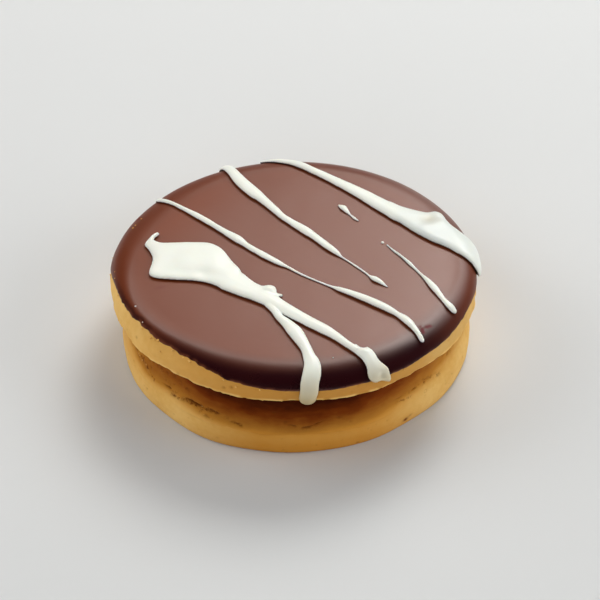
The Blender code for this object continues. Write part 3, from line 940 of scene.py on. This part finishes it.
def make_coat():
    """Rings from the hidden inside, round the edge's bead, and over to the middle."""
    edge = skin_reach(TURN)
    inside = np.array([[0.2], [0.5], [0.8], [0.93], [0.98]])  # shares of the way out
    bead_reach = edge - SKIN_BEAD + SKIN_BEAD * np.cos(BEAD[::-1])
    bead_lift = SKIN_PROUD - SKIN_BEAD + SKIN_BEAD * np.sin(BEAD[::-1])
    over = np.linspace(0.0, 1.0, 56)[1:, None]
    over_reach = (edge - SKIN_BEAD) + over * (FINE_RINGS - edge + SKIN_BEAD)
    over_lift = SKIN_PROUD * (1.0 - ease(over, 0.0, 1.0))
    flat = np.linspace(0.94, 0.06, 16)[:, None] * FLAT_RADIUS
    rings = np.vstack([
        top_rings(inside * (edge - SKIN_BEAD), -SKIN_INSIDE),
        top_rings(bead_reach, bead_lift),
        top_rings(over_reach, over_lift),
        top_rings(flat, 0.0),
    ])
    reach = np.vstack([inside * edge, bead_reach, over_reach, flat + 0 * TURN])
    push = lumps(rings, COAT_LUMPS, 80)
    push[:len(inside)] = 0.0
    rings = rings + outward(rings) * push[..., None]
    # painted shade on the shoulder, darkest on the side facing the camera
    front_shade = 1.0 - 0.7 * ease(np.abs(degrees_off(TURN, DARKEST_SHADE_SIDE)), *SHADE_FADE)
    gathered = ease(reach - tightness(TURN), *SHADED_SHOULDER_REACH) * front_shade
    start, full = RUN_INSETS
    run = ease(reach, edge - start, edge - full) * around_bell(TURN, *RUN_SPAN)
    start, full = FEATHER_INSETS
    feathered = ease(reach, edge - start, edge - full)
    u, v = reach * np.cos(TURN), reach * np.sin(TURN)
    smudge = sum(spot(u, v, *place) for place in SMUDGES)
    marks = {
        # painted shade over the shoulder, and along the very edge at the front left
        "gathered": np.maximum(gathered, 0.85 * run),
        "smudge": smudge * ease(speckle(rings, 0.5 * MM, 82), -0.9, 0.0),
        "feathered": feathered * ease(speckle(rings, 1.5 * MM, 83), -0.6, 0.4),
        # painted redder, with less sheen, and rougher at the rear left
        "thin": around_bell(TURN, *LESS_SHEEN_SPAN) * ease(reach, *LESS_SHEEN_REACH),
        "clouded": around_bell(TURN, *CLOUDED_SPAN) * ease(reach, *CLOUDED_REACH),
    }
    return turned_sheet("chocolate_coat", rings, marks, chocolate_finish)


chocolate_coat = make_coat()
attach(chocolate_coat, "root")
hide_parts("chocolate_topping")

# %% [markdown]
# ## The white drizzle
#
# White chocolate flicked from a spoon lands as threads that swell and thin, run into
# each other, and in one place flow down over the side as a drip. Lofted tubes would
# cross instead of flowing together, so the drizzle is a relief over the top's flat map:
# at each place, how far inside the nearest thread it is decides how high it stands. A
# thread is a line of stations with a half width and a height. Where threads meet, a
# soft maximum joins them with a fillet, as surface tension does.

# %% White chocolate finish
IVORY = rgb(0.875, 0.895, 0.81)
THIN_WHITE = rgb(0.78, 0.76, 0.82)
# cooler and darker: painted shade on the rear pool
SHADED_REAR_WHITE = rgb(0.68, 0.725, 0.69)
# painted warm shade where the drip hangs over the side and in a dimple
WARM_SHADED_IVORY = rgb(0.56, 0.45, 0.24)
PAINTED_FOOT_SHADOW = rgb(0.03, 0.010, 0.006)  # painted near black on its underside and outline, as a thin shadow line


def make_white_finish():
    """Ivory where it is thick; a little greyer where the dark shows through; some painted shade."""
    constants = {
        "IOR": 1.46,
        "Subsurface Weight": 0.25,
        "Subsurface Radius": (1.0, 0.8, 0.6),
        "Subsurface Scale": 0.4 * MM,
    }
    finish = Finish("white_chocolate", constants)
    clouds = finish.noise(4 * MM)
    thick = finish.step(finish.mark("depth") + clouds * 0.1 - 0.05, 0.0, 0.30)
    white = finish.mix(thick, THIN_WHITE, IVORY)
    # painted cool shade on the rear pool
    white = finish.mix(finish.mark("spread"), white, SHADED_REAR_WHITE)
    # painted warm shade where the drip hangs and in a dimple
    white = finish.mix(finish.mark("hung"), white, WARM_SHADED_IVORY)
    # painted shadow along its outline and underside
    foot = finish.step(finish.mark("foot"), 0.5, 0.95)
    finish.shade("Base Color", finish.mix(foot, white, PAINTED_FOOT_SHADOW))
    finish.shade("Roughness", 0.30 + clouds * 0.12)
    finish.shade("Normal", finish.bump(finish.noise(1.5 * MM), 0.02 * MM))
    return finish


white_finish = make_white_finish()
print("nodes in the white chocolate's finish:", len(white_finish.tree.nodes))

# %% Threads of drizzle
DRIZZLE_THREADS = {  # u, v, half width and height, in millimetres on the flat map
    "branch": [
        (-13.0, -9.0, 3.4, 0.85), (-10.3, -11.3, 2.8, 0.85), (-8.0, -12.8, 2.5, 0.85),
        (-5.3, -14.9, 2.1, 0.85), (-2.5, -17.3, 1.7, 0.8), (-0.8, -18.8, 1.6, 0.8),
        (3.6, -22.4, 1.45, 0.75), (6.5, -24.6, 1.4, 0.75), (8.6, -26.4, 1.15, 0.7),
        (11.1, -29.0, 0.9, 0.7), (13.2, -30.9, 0.9, 0.8),
    ],
    "drip": [
        (-4.8, -17.0, 1.0, 0.65), (-3.8, -18.9, 0.85, 0.65), (-2.8, -20.9, 0.95, 0.7),
        (-1.2, -22.9, 1.25, 0.8), (0.3, -25.2, 1.6, 0.9), (1.5, -27.7, 1.45, 0.9),
        (2.7, -30.4, 1.2, 0.9), (3.4, -32.9, 1.35, 0.95), (4.0, -34.9, 1.7, 1.0),
        (4.0, -36.5, 1.85, 1.0), (3.6, -38.6, 1.87, 1.0), (3.5, -40.5, 1.9, 1.1),
        (3.4, -42.7, 1.95, 1.1),
    ],
    "knob": [(-6.0, -12.2, 1.7, 0.8), (-5.2, -11.9, 1.6, 0.8)],
    "finger": [(-4.6, -12.9, 0.8, 0.6), (-3.4, -13.4, 0.5, 0.4), (-2.7, -13.4, 0.45, 0.4)],
    "long thread": [
        (-31.2, 23.0, 0.3, 0.35), (-30.0, 21.9, 0.6, 0.5), (-27.0, 19.3, 0.5, 0.5),
        (-24.0, 16.7, 0.65, 0.5), (-21.5, 14.5, 0.8, 0.6), (-18.0, 11.2, 0.75, 0.6),
        (-15.2, 8.5, 0.85, 0.6), (-12.6, 6.1, 1.1, 0.65), (-10.6, 4.0, 0.75, 0.55),
        (-8.5, 2.0, 0.8, 0.55), (-5.5, -0.6, 0.85, 0.55), (-3.0, -2.5, 0.65, 0.45),
        (-1.0, -3.9, 0.36, 0.35), (2.4, -6.6, 0.28, 0.28), (7.3, -9.7, 0.26, 0.25),
        (8.8, -10.6, 0.4, 0.35), (9.9, -11.3, 0.68, 0.5), (12.2, -12.6, 0.8, 0.55),
        (15.5, -14.6, 1.0, 0.65), (18.6, -16.7, 1.0, 0.65), (20.4, -18.1, 0.9, 0.6),
        (21.9, -19.3, 0.72, 0.55), (23.5, -21.0, 0.95, 0.65), (24.6, -22.5, 0.85, 0.65),
        (25.4, -24.0, 0.62, 0.55), (26.4, -26.2, 0.56, 0.55),
    ],
    "middle thread": [
        (-17.6, 37.8, 1.0, 0.8), (-15.2, 33.5, 1.15, 0.8), (-12.6, 28.4, 1.5, 0.8),
        (-9.5, 23.8, 1.6, 0.8), (-7.5, 21.2, 1.25, 0.7), (-4.8, 17.4, 1.0, 0.65),
        (-2.4, 14.1, 0.85, 0.6), (2.2, 9.5, 1.15, 0.65), (4.8, 6.7, 0.97, 0.6),
        (7.3, 3.6, 0.92, 0.6), (9.2, 1.5, 0.7, 0.5), (10.4, 0.1, 0.3, 0.3),
        (12.5, -2.0, 0.25, 0.25), (15.4, -5.2, 0.24, 0.25), (16.3, -6.4, 0.3, 0.3),
        (17.3, -7.5, 0.75, 0.5), (18.4, -8.4, 0.6, 0.45), (20.0, -10.0, 0.15, 0.2),
    ],
    "rear thread": [
        (-7.8, 38.2, 0.5, 0.5), (-4.0, 37.0, 0.8, 0.6), (0.6, 35.2, 0.95, 0.7),
        (5.0, 31.9, 1.1, 0.75), (10.1, 27.7, 1.35, 0.8), (14.8, 23.7, 1.7, 0.85),
        (17.6, 21.0, 1.95, 0.9), (20.6, 18.2, 2.2, 0.9), (23.6, 15.7, 2.4, 0.9),
    ],
    "right thread": [
        (20.4, 4.6, 0.2, 0.25), (22.0, 2.3, 0.26, 0.3), (23.4, 0.6, 0.32, 0.35),
        (25.0, -1.8, 0.45, 0.4), (26.4, -4.0, 0.34, 0.35), (27.5, -5.8, 0.36, 0.4),
        (28.6, -7.6, 0.6, 0.5), (30.0, -10.3, 0.80, 0.6), (31.9, -14.2, 0.6, 0.5),
        (32.8, -15.9, 0.82, 0.65), (33.4, -16.8, 0.7, 0.6),
    ],
    "short dab": [
        (10.0, 19.1, 0.3, 0.3), (10.8, 18.2, 0.78, 0.45), (11.5, 17.1, 0.6, 0.4),
        (12.4, 15.7, 0.28, 0.3), (13.3, 14.4, 0.36, 0.3), (14.1, 13.5, 0.2, 0.25),
    ],
}
print("threads:", {name: len(stations) for name, stations in DRIZZLE_THREADS.items()})

# %% Pools of drizzle
DRIZZLE_POOLS = {  # height, then u and v round the outline, in millimetres
    "pool": (0.85, [
        (-30.7, -1.6), (-31.2, -6.0), (-29.6, -7.6), (-26.0, -8.2), (-21.0, -8.7),
        (-17.9, -9.7), (-15.1, -11.3), (-12.6, -12.4), (-10.6, -10.5), (-11.4, -5.4),
        (-13.4, -2.0), (-15.2, 1.5), (-16.9, 3.4), (-19.1, 4.5), (-22.7, 4.7),
        (-26.8, 4.6), (-29.3, 4.7), (-30.8, 5.7), (-30.6, 6.8), (-29.9, 7.7),
        (-30.2, 8.4), (-31.4, 7.5), (-32.3, 5.7), (-32.8, 4.1), (-32.0, 2.6),
        (-31.2, 0.8),
    ]),
    "branch end": (0.85, [
        (12.9, -29.2), (13.9, -30.2), (14.8, -30.2), (15.4, -29.9), (15.9, -30.3),
        (16.5, -30.9), (16.9, -31.7), (17.2, -32.4), (17.8, -33.0), (18.7, -33.5),
        (19.4, -34.0), (19.9, -35.0), (20.6, -36.0), (20.6, -36.9), (19.7, -37.0),
        (18.4, -37.0), (17.6, -37.5), (16.7, -37.6), (15.8, -37.1), (15.2, -36.2),
        (15.0, -35.0), (14.6, -33.9), (13.9, -32.9), (13.0, -31.9),
    ]),
    "rear pool": (0.9, [
        (20.6, 15.4), (23.8, 12.2), (27.0, 8.7), (30.2, 6.0), (33.4, 4.0), (35.8, 1.8),
        (38.4, -0.6), (40.2, -2.2), (41.4, -2.0), (42.0, 0.6), (41.5, 3.8), (40.4, 6.4),
        (38.6, 8.3), (36.5, 10.1), (34.7, 12.0), (33.7, 13.7), (33.1, 15.2),
        (32.3, 16.4), (31.2, 17.0), (29.6, 16.6), (27.3, 17.2), (23.9, 18.6),
        (21.0, 20.2),
    ]),
}
print("pools:", {name: len(outline) for name, (_, outline) in DRIZZLE_POOLS.items()})

# %% Inside a thread or a pool
LINE_STEP = 0.5  # between the points of a thread's line or an outline, in millimetres
LONGEST_CAP = 1.9 * MM  # of a thread's rounded end
POOL_HALF = 3.5 * MM  # how far in from its edge a pool's shallow dome goes on rising
MELT = 0.20 * MM  # size of the fillet where threads meet
FAR_OUTSIDE = -4 * MM
BOX_MARGIN = 2 * MM


def thread_field(u, v, stations):
    """How far inside one thread each place is, and its half width and height there.

    The thread is a chain of short stretches. Off a stretch's line by d, and past its
    end by p, a place has q = sqrt((d / half width)² + (p / cap)²); it lies inside where
    q is below 1. The stretch with the least q counts, and gives (1 - q) x half width.
    """
    path = smooth_path(stations, LINE_STEP) * MM
    least = np.full(u.shape, np.inf)
    half, rise = np.full(u.shape, MM), np.zeros(u.shape)
    for start, end in zip(path, path[1:]):
        along_u, along_v = end[:2] - start[:2]
        length = math.hypot(along_u, along_v)
        run = ((u - start[0]) * along_u + (v - start[1]) * along_v) / length
        off = ((u - start[0]) * along_v - (v - start[1]) * along_u) / length
        share = np.clip(run / length, 0.0, 1.0)
        width = start[2] + share * (end[2] - start[2])
        past = run - share * length
        q = np.hypot(off / width, past / np.minimum(width, LONGEST_CAP))
        closer = q < least
        least = np.where(closer, q, least)
        half = np.where(closer, width, half)
        rise = np.where(closer, start[3] + share * (end[3] - start[3]), rise)
    return (1.0 - least) * half, half, rise


def pool_field(u, v, pool):
    """How far inside a pool's outline each place is, and a half width and height.

    It is the distance to the nearest stretch of the outline, and below 0 outside. A
    place is inside where a line from it towards +u crosses the outline an odd number of
    times.
    """
    height, outline = pool
    path = smooth_path(outline, LINE_STEP, closed=True) * MM
    nearest, crossings = np.full(u.shape, np.inf), np.zeros(u.shape, int)
    for start, end in zip(path, path[1:]):
        along_u, along_v = end - start
        run = (u - start[0]) * along_u + (v - start[1]) * along_v
        share = np.clip(run / (along_u**2 + along_v**2), 0.0, 1.0)
        off = np.hypot(u - start[0] - share * along_u, v - start[1] - share * along_v)
        nearest = np.minimum(nearest, off)
        level = (start[1] > v) == (end[1] > v)
        crossed = start[0] + (v - start[1]) * along_u / (along_v or 1.0)
        crossings += ~level & (u < crossed)
    inside = np.where(crossings % 2 == 1, nearest, -nearest)
    return inside, np.full(u.shape, POOL_HALF), np.full(u.shape, height * MM)


# %% All of the drizzle
def shape_box(stations):
    """Corners of the stretch of map that a thread or an outline can touch."""
    points = np.array(stations) * MM
    widest = points[:, 2:3] if points.shape[1] > 2 else 0.0
    low, high = points[:, :2] - widest, points[:, :2] + widest
    return low.min(0) - BOX_MARGIN, high.max(0) + BOX_MARGIN


def drizzle_field(u, v):
    """Threads and pools joined: distance inside, half width and height at each place.

    The soft maximum is MELT x log(sum of exp(inside / MELT)); half width and height
    are averages, weighted by the same exponentials.
    """
    shapes = [(thread_field, stations, stations) for stations in DRIZZLE_THREADS.values()]
    shapes += [(pool_field, pool, pool[1]) for pool in DRIZZLE_POOLS.values()]
    weights, halves, rises = 0.0, 0.0, 0.0
    for field, shape, stations in shapes:
        low, high = shape_box(stations)
        near = (u > low[0]) & (u < high[0]) & (v > low[1]) & (v < high[1])
        inside = np.full(u.shape, FAR_OUTSIDE)
        half, rise = np.full(u.shape, MM), np.zeros(u.shape)
        inside[near], half[near], rise[near] = field(u[near], v[near], shape)
        weight = np.exp(np.clip(inside, FAR_OUTSIDE, None) / MELT)
        weights, halves, rises = weights + weight, halves + weight * half, rises + weight * rise
    inside = MELT * np.log(weights)
    places = np.stack([u, v, 0 * u], -1)
    inside = inside + 0.04 * MM * speckle(places, 1.7 * MM, 91)
    return inside, halves / weights, rises / weights


pool_place = np.array([-20.0]) * MM, np.array([-2.0]) * MM
print("a place in the pool is inside by, mm:", np.round(drizzle_field(*pool_place)[0] / MM, 1))

# %% [markdown]
# The relief becomes a closed skin in three moves. First the flat map is laid out as a
# fine square grid, and the squares that touch the drizzle are kept. Then the corners
# that lie outside slide along the field's slope until they stand on the outline, so the
# edge is smooth and not stepped. Last, the kept squares are used twice: lifted up as
# the drizzle's top, and turned over as its underside, which sinks into the chocolate.

# %% Measures of the relief
GRID_STEP = 0.17 * MM
MAP_REACH = 46 * MM
EDGE_ROUND = 2.0 * MM  # width over which a wide thread's edge curves down
BEAD_POWER = 2.5
EDGE_LIFT = 0.36 * MM  # of the edge above the dark coat, which leaves a thin dark line
EDGE_TUCK = 0.75 * MM  # how far in from the edge the underside reaches the coat
SUNK = 0.50 * MM
LEAST_DEPTH = 0.15 * MM
NUDGE = 0.02 * MM  # for the slope: the difference over so short a way
SLIDES = 4
HUNG_SHADE_REACH = (35 * MM, 44 * MM)  # the drip is painted warmer and darker between these, as shade
HUNG_SHADE_SIDE = -30 * MM  # and only where v is below this
DIMPLE_SHADE_SPOT = (30 * MM, 13.4 * MM, 2.2 * MM)  # u, v and size of painted shade in a dimple of the rear pool
# u, v and size of the painted cool shade on the rear pool
REAR_SHADE_SPOT = (31 * MM, 9 * MM, 14 * MM)
SWELLS = MM * np.array([  # u, v, radius and rise of a swelling or a dimple
    (32.4, 15.7, 1.2, 0.34), (30.0, 14.0, 2.0, -0.32), (32.0, 11.8, 1.8, 0.30),
    (29.4, 10.2, 1.8, 0.15), (18.1, -35.7, 0.7, -0.50), (19.8, -35.9, 0.6, 0.15),
    (14.6, -31.4, 0.9, 0.30), (-5.4, -12.2, 1.1, 0.25), (-26.5, -2.0, 2.2, -0.20),
    (-17.5, -3.0, 2.5, 0.15), (-22.0, 1.0, 2.5, 0.10), (-28.5, -6.3, 2.4, -0.20),
    (-24.0, -6.8, 2.4, -0.25), (-19.2, -7.2, 1.9, -0.35), (-24.0, -3.4, 2.0, 0.08),
])
print("grid step, mm:", GRID_STEP / MM, "and", len(SWELLS), "swellings")


# %% Outline and heights
def slide_to_outline(u, v):
    """Move places along the field's slope until they lie on the drizzle's outline."""
    for _ in range(SLIDES):
        inside = drizzle_field(u, v)[0]
        slope_u = (drizzle_field(u + NUDGE, v)[0] - inside) / NUDGE
        slope_v = (drizzle_field(u, v + NUDGE)[0] - inside) / NUDGE
        steep = np.maximum(slope_u**2 + slope_v**2, 0.25)
        u, v = u - inside * slope_u / steep, v - inside * slope_v / steep
    return u, v


def drizzle_lifts(u, v, inside, half, rise):
    """Lift of the drizzle's top and of its underside, and its thickness.

    The edge curves down over the smaller of the half width and EDGE_ROUND, along
    (1 - x^n)^(1/n), which is squarer than a circle for n above 2; inwards of that the
    top is a shallow dome. The edge stands a little above the coat, and the underside
    runs in and down from it.
    """
    curve = np.clip(inside / np.minimum(half, EDGE_ROUND), 0.0, 1.0)
    edge = (1.0 - (1.0 - curve) ** BEAD_POWER) ** (1.0 / BEAD_POWER)
    crown = 0.86 + 0.14 * np.clip(inside / half, 0.0, 1.0)
    places = np.stack([u, v, 0 * u], -1)
    uneven = 1.0 + 0.10 * speckle(places, 3.5 * MM, 92)
    rise = rise + sum(swell * spot(u, v, *place) for *place, swell in SWELLS)
    depth = np.maximum(rise, LEAST_DEPTH) * edge * crown * uneven
    level = np.minimum(EDGE_LIFT, 0.4 * half)
    level = level + SKIN_PROUD * ease(np.hypot(u, v), FLAT_RADIUS, SHOULDER_END)
    tuck = np.minimum(half, EDGE_TUCK)
    return level + depth, level - SUNK * ease(inside, 0.1 * tuck, 0.9 * tuck), depth


# %% White drizzle
def make_drizzle():
    """Keep the grid squares that touch the drizzle, and close them into a skin."""
    line = np.arange(-MAP_REACH, MAP_REACH, GRID_STEP)
    u, v = (axis.ravel() for axis in np.meshgrid(line, line, indexing="ij"))
    inner = drizzle_field(u, v)[0] > 0.3 * GRID_STEP
    number = np.arange(len(line) ** 2).reshape(len(line), -1)
    squares = np.stack([number[:-1, :-1], number[1:, :-1], number[1:, 1:], number[:-1, 1:]], -1)
    squares = squares.reshape(-1, 4)
    squares = squares[inner[squares].any(axis=1)]
    used, squares = np.unique(squares, return_inverse=True)
    squares = squares.reshape(-1, 4)
    u, v, inner = u[used], v[used], inner[used]
    u[~inner], v[~inner] = slide_to_outline(u[~inner], v[~inner])
    inside, half, rise = drizzle_field(u, v)
    inside = np.where(inner, np.maximum(inside, 0.0), 0.0)
    top, under, depth = drizzle_lifts(u, v, inside, half, rise)
    twin = np.arange(len(used))
    twin[inner] = len(used) + np.arange(inner.sum())
    points = np.vstack([top_surface(u, v, top), top_surface(u, v, under)[inner]])
    faces = squares.tolist() + twin[squares][:, ::-1].tolist()
    # painted warm shade on the hanging drip and in a dimple
    hung = ease(np.hypot(u, v), *HUNG_SHADE_REACH) * (v < HUNG_SHADE_SIDE)
    hung = hung + 0.35 * spot(u, v, *DIMPLE_SHADE_SPOT)
    # painted cool shade on the rear pool
    spread = spot(u, v, *REAR_SHADE_SPOT)
    marks = {
        "depth": np.append(depth, depth[inner]) / MM,
        "hung": np.append(hung, hung[inner]),
        "spread": np.append(spread, spread[inner]),
        # the outline and the underside carry the painted shadow line
        "foot": np.append(~inner, inner[inner]),
    }
    return add_mesh("white_drizzle", points, faces, marks, white_finish)


white_drizzle = make_drizzle()
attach(white_drizzle, "root")
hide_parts("chocolate_topping")

# %% [markdown]
# ## Stray crumbs and white specks
#
# A few crumbs broke off the rims and stuck to the chocolate and to the bare sides, and
# a few tiny drops of white chocolate landed beside the threads. Each is a lumpy ball of
# a few dozen faces, and balls of one kind share one mesh. One ball of directions is
# worked out once; every crumb is that ball times its own uneven size, moved to its own
# place on the top's map.

# %% Places of crumbs and specks
STUCK_CRUMBS = MM * np.array([  # u, v and size in millimetres
    (33.7, -24.2, 0.12), (-35.6, 12.1, 0.19), (-35.1, 13.0, 0.16), (-33.9, 15.4, 0.15),
    (-38.9, -3.3, 0.15), (-38.7, -5.6, 0.16), (-29.7, -25.7, 0.24), (-28.8, -26.3, 0.20),
    (-27.9, -26.7, 0.26), (-11.8, -39.6, 0.26), (-27.9, -29.2, 0.18),
])
WHITE_SPECKS = MM * np.array([  # the same
    (-33.3, -16.6, 0.22), (-31.4, -21.5, 0.20), (19.4, 5.5, 0.34), (8.3, -32.8, 0.14),
    (19.6, -33.6, 0.11),
])
CRUMBY_SIDE, CRUMBY_COUNT = (140, 262), 30  # directions in degrees with most loose crumbs
ELSEWHERE_COUNT = 16
CRUMB_SIZES = (0.10, 0.24)  # millimetres
ON_COAT_SHARE = 0.55  # of them hang on the coat's edge, the others on the rim
EDGE_OFFSET = 0.3 * MM
CLEAR_OF_DRIZZLE = 2 * MM
print("stuck crumbs:", len(STUCK_CRUMBS), "and white specks:", len(WHITE_SPECKS))

# %% Lumpy balls
BALL_RINGS, BALL_AROUND = 5, 8


def unit_ball():
    """Directions all round, as rings from north to south and the two poles, and faces."""
    tilt = np.linspace(0, math.pi, BALL_RINGS + 2)[1:-1, None]
    turn = np.arange(BALL_AROUND) * 2 * math.pi / BALL_AROUND
    ball = np.stack([
        np.sin(tilt) * np.cos(turn), np.sin(tilt) * np.sin(turn), np.cos(tilt) + 0 * turn
    ], -1)
    ball = np.vstack([ball.reshape(-1, 3), [[0, 0, 1], [0, 0, -1]]])
    quads, fans = ring_faces(BALL_RINGS, BALL_AROUND)
    # These rings run downwards, so the faces are turned over to look outwards.
    return ball, quads[:, [0, 3, 2, 1]], fans[:, [0, 2, 1]]


def scatter_balls(name, places, sizes, rng, uneven, tallness, marks, finish):
    """One mesh of lumpy balls that sit at the given places on the top's map.

    `uneven` is how lumpy and how squashed they are, `tallness` is 1 for a full ball.
    """
    ball, quads, fans = unit_ball()
    centres = top_surface(places[:, 0], places[:, 1], 0.5 * sizes)
    lumpy = rng.uniform(1.0 - uneven, 1.0 + uneven, (len(sizes), len(ball), 1))
    squash = rng.uniform(1.0 - uneven, 1.0 + 0.5 * uneven, (len(sizes), 1, 3))
    shape = ball * [1.0, 1.0, tallness]
    points = centres[:, None] + shape * lumpy * squash * sizes[:, None, None]
    starts = np.arange(len(sizes))[:, None, None] * len(ball)
    faces = (quads + starts).reshape(-1, 4).tolist() + (fans + starts).reshape(-1, 3).tolist()
    points = points.reshape(-1, 3)
    marks = {mark: np.full(len(points), value) for mark, value in marks.items()}
    return add_mesh(name, points, faces, marks, finish)


# %% Crumbs and specks
def make_crumbs():
    """Crumbs on the chocolate, along its edge and along the rim."""
    rng = np.random.default_rng(7)
    crumby = rng.uniform(*CRUMBY_SIDE, CRUMBY_COUNT)
    angle = np.radians(np.append(crumby, rng.uniform(0, 360, ELSEWHERE_COUNT)))
    on_coat = rng.random(len(angle)) < ON_COAT_SHARE
    reach = np.where(on_coat, skin_reach(angle) + EDGE_OFFSET, RIM_REACH - EDGE_OFFSET)
    places = np.stack([reach * np.cos(angle), reach * np.sin(angle)], -1)
    sizes = rng.uniform(*CRUMB_SIZES, len(angle)) * MM
    clear = drizzle_field(places[:, 0], places[:, 1])[0] < -CLEAR_OF_DRIZZLE
    places = np.vstack([STUCK_CRUMBS[:, :2], places[clear]])
    sizes = np.append(STUCK_CRUMBS[:, 2], sizes[clear])
    # the crumbs get a little of the painted warm shade
    marks = {"hole": 0.0, "browned": 0.0, "golden": 0.2, "soaked": 0.0}
    return scatter_balls("stray_crumbs", places, sizes, rng, 0.35, 1.0, marks, biscuit_finish)


def make_specks():
    """Tiny drops of white chocolate beside the threads."""
    rng = np.random.default_rng(8)
    places, sizes = WHITE_SPECKS[:, :2], WHITE_SPECKS[:, 2]
    marks = {"depth": 0.5, "hung": 0.0, "spread": 0.0, "foot": 0.0}
    return scatter_balls("white_specks", places, sizes, rng, 0.12, 0.6, marks, white_finish)


stray_crumbs = make_crumbs()
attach(stray_crumbs, "root")
white_specks = make_specks()
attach(white_specks, "root")

# %% [markdown]
# ## Floor, light and camera
#
# The alfajor stands on a plain pale floor. Four soft lamps behind it stand for windows,
# and they are all that its gloss mirrors. Two high ones give the flat of the chocolate
# its milky sheen, a cooler one shines on the right, and a low one is mirrored by the far
# shoulder. The shoulder at the front mirrors the dim room over the camera, so it stays
# dark. Four pale cards all round light the sides without showing in the gloss.

# %% Floor
FLOOR_RADIUS = 6.0
FLOOR_CORNERS = 96


def make_floor():
    """A large disc just under the biscuit, in a plain pale finish."""
    rim = np.arange(FLOOR_CORNERS) * 2 * math.pi / FLOOR_CORNERS
    points = np.stack([np.cos(rim), np.sin(rim), 0 * rim], -1) * FLOOR_RADIUS
    finish = Finish("pale_floor", {"Roughness": 0.8, "Base Color": rgb(0.70, 0.71, 0.71)})
    return add_mesh("floor", points, [list(range(FLOOR_CORNERS))], {}, finish)


floor = make_floor()


# %% Lamps
def toward(azimuth, rise, distance):
    """A place `distance` away; azimuth 0 is straight behind the alfajor, 90 on its right."""
    turn, up = math.radians(azimuth), math.radians(rise)
    level = distance * math.cos(up)
    return (level * math.sin(turn), level * math.cos(turn), distance * math.sin(up))


def add_lamp(name, azimuth, rise, distance, power, size, tint, mirrored):
    """A flat lamp that faces the alfajor; only a mirrored one shows in its gloss."""
    lamp = bpy.data.lights.new(name, "AREA")
    lamp.shape = "RECTANGLE"
    lamp.size, lamp.size_y = size
    lamp.energy = power
    lamp.color = tint
    holder = bpy.data.objects.new(name, lamp)
    bpy.context.scene.collection.objects.link(holder)
    holder.location = toward(azimuth, rise, distance)
    holder.rotation_euler = (-holder.location).to_track_quat("-Z", "Y").to_euler()
    holder.visible_glossy = mirrored

# %% Windows and cards
WARM_DAY = (1.0, 0.94, 0.87)
COOL_DAY = (0.84, 0.96, 1.04)
LATE_DAY = (1.0, 0.93, 0.85)
CARD_WHITE = (1.0, 1.0, 1.0)
WINDOW_DISTANCE = 1.2
WINDOWS = (  # name, direction and rise in degrees, watts, width and height, colour
    ("window", 17, 43, 5.2, (0.52, 0.50), WARM_DAY),
    ("wide_window", 8, 40, 2.7, (0.95, 0.46), WARM_DAY),
    ("side_window", 28, 38, 2.9, (0.60, 0.46), COOL_DAY),
    ("rear_window", 23, 14, 0.85, (0.50, 0.50), LATE_DAY),
)
CARD_DISTANCE = 2.4
CARD_SIZE = (1.8, 1.8)
CARDS = (  # name, direction and rise in degrees, watts
    ("top_card", 10, 68, 3.2),
    ("left_card", -80, 26, 29.2),
    ("right_card", 98, 20, 30.0),
    ("front_card", 192, 27, 19.2),
)
for name, azimuth, rise, power, size, tint in WINDOWS:
    add_lamp(name, azimuth, rise, WINDOW_DISTANCE, power, size, tint, mirrored=True)
for name, azimuth, rise, power in CARDS:
    add_lamp(name, azimuth, rise, CARD_DISTANCE, power, CARD_SIZE, CARD_WHITE, mirrored=False)
print("lamps:", len(WINDOWS), "windows and", len(CARDS), "cards")

# %% Room
ROOM_COLOUR = rgb(0.85, 0.88, 0.9)
ROOM_LIGHT = 0.05
world = bpy.data.worlds.new("pale_room")
world.use_nodes = True
room = world.node_tree.nodes["Background"]
room.inputs["Color"].default_value = ROOM_COLOUR
room.inputs["Strength"].default_value = ROOM_LIGHT
bpy.context.scene.world = world
bpy.context.scene.view_settings.view_transform = "Standard"
print("room light:", ROOM_LIGHT)

# %% Camera
CAMERA_LENS = 111.0
CAMERA_SENSOR = 36.0
CAMERA_DISTANCE = 424 * MM
CAMERA_RISE = math.radians(41.8)
CAMERA_ROLL = 0.0117
CAMERA_AIM = Vector((1.4 * MM, 10.3 * MM, 0.0))


def make_camera():
    """A long lens that looks down on the drip side, turned a hair about its own axis."""
    forward = Vector((0.0, math.cos(CAMERA_RISE), -math.sin(CAMERA_RISE)))
    level = Vector((1.0, 0.0, 0.0))
    upright = level.cross(forward)
    right = level * math.cos(CAMERA_ROLL) + upright * math.sin(CAMERA_ROLL)
    up = upright * math.cos(CAMERA_ROLL) - level * math.sin(CAMERA_ROLL)
    data = bpy.data.cameras.new("camera")
    data.lens = CAMERA_LENS
    data.sensor_width = CAMERA_SENSOR
    data.clip_start, data.clip_end = 10 * MM, 20.0
    camera = bpy.data.objects.new("camera", data)
    bpy.context.scene.collection.objects.link(camera)
    place = Matrix((right, up, -forward)).transposed().to_4x4()
    place.translation = CAMERA_AIM - forward * CAMERA_DISTANCE
    camera.matrix_world = place
    return camera


bpy.context.scene.camera = make_camera()
print("camera, mm:", np.round(np.array(bpy.context.scene.camera.matrix_world.translation) / MM, 1))
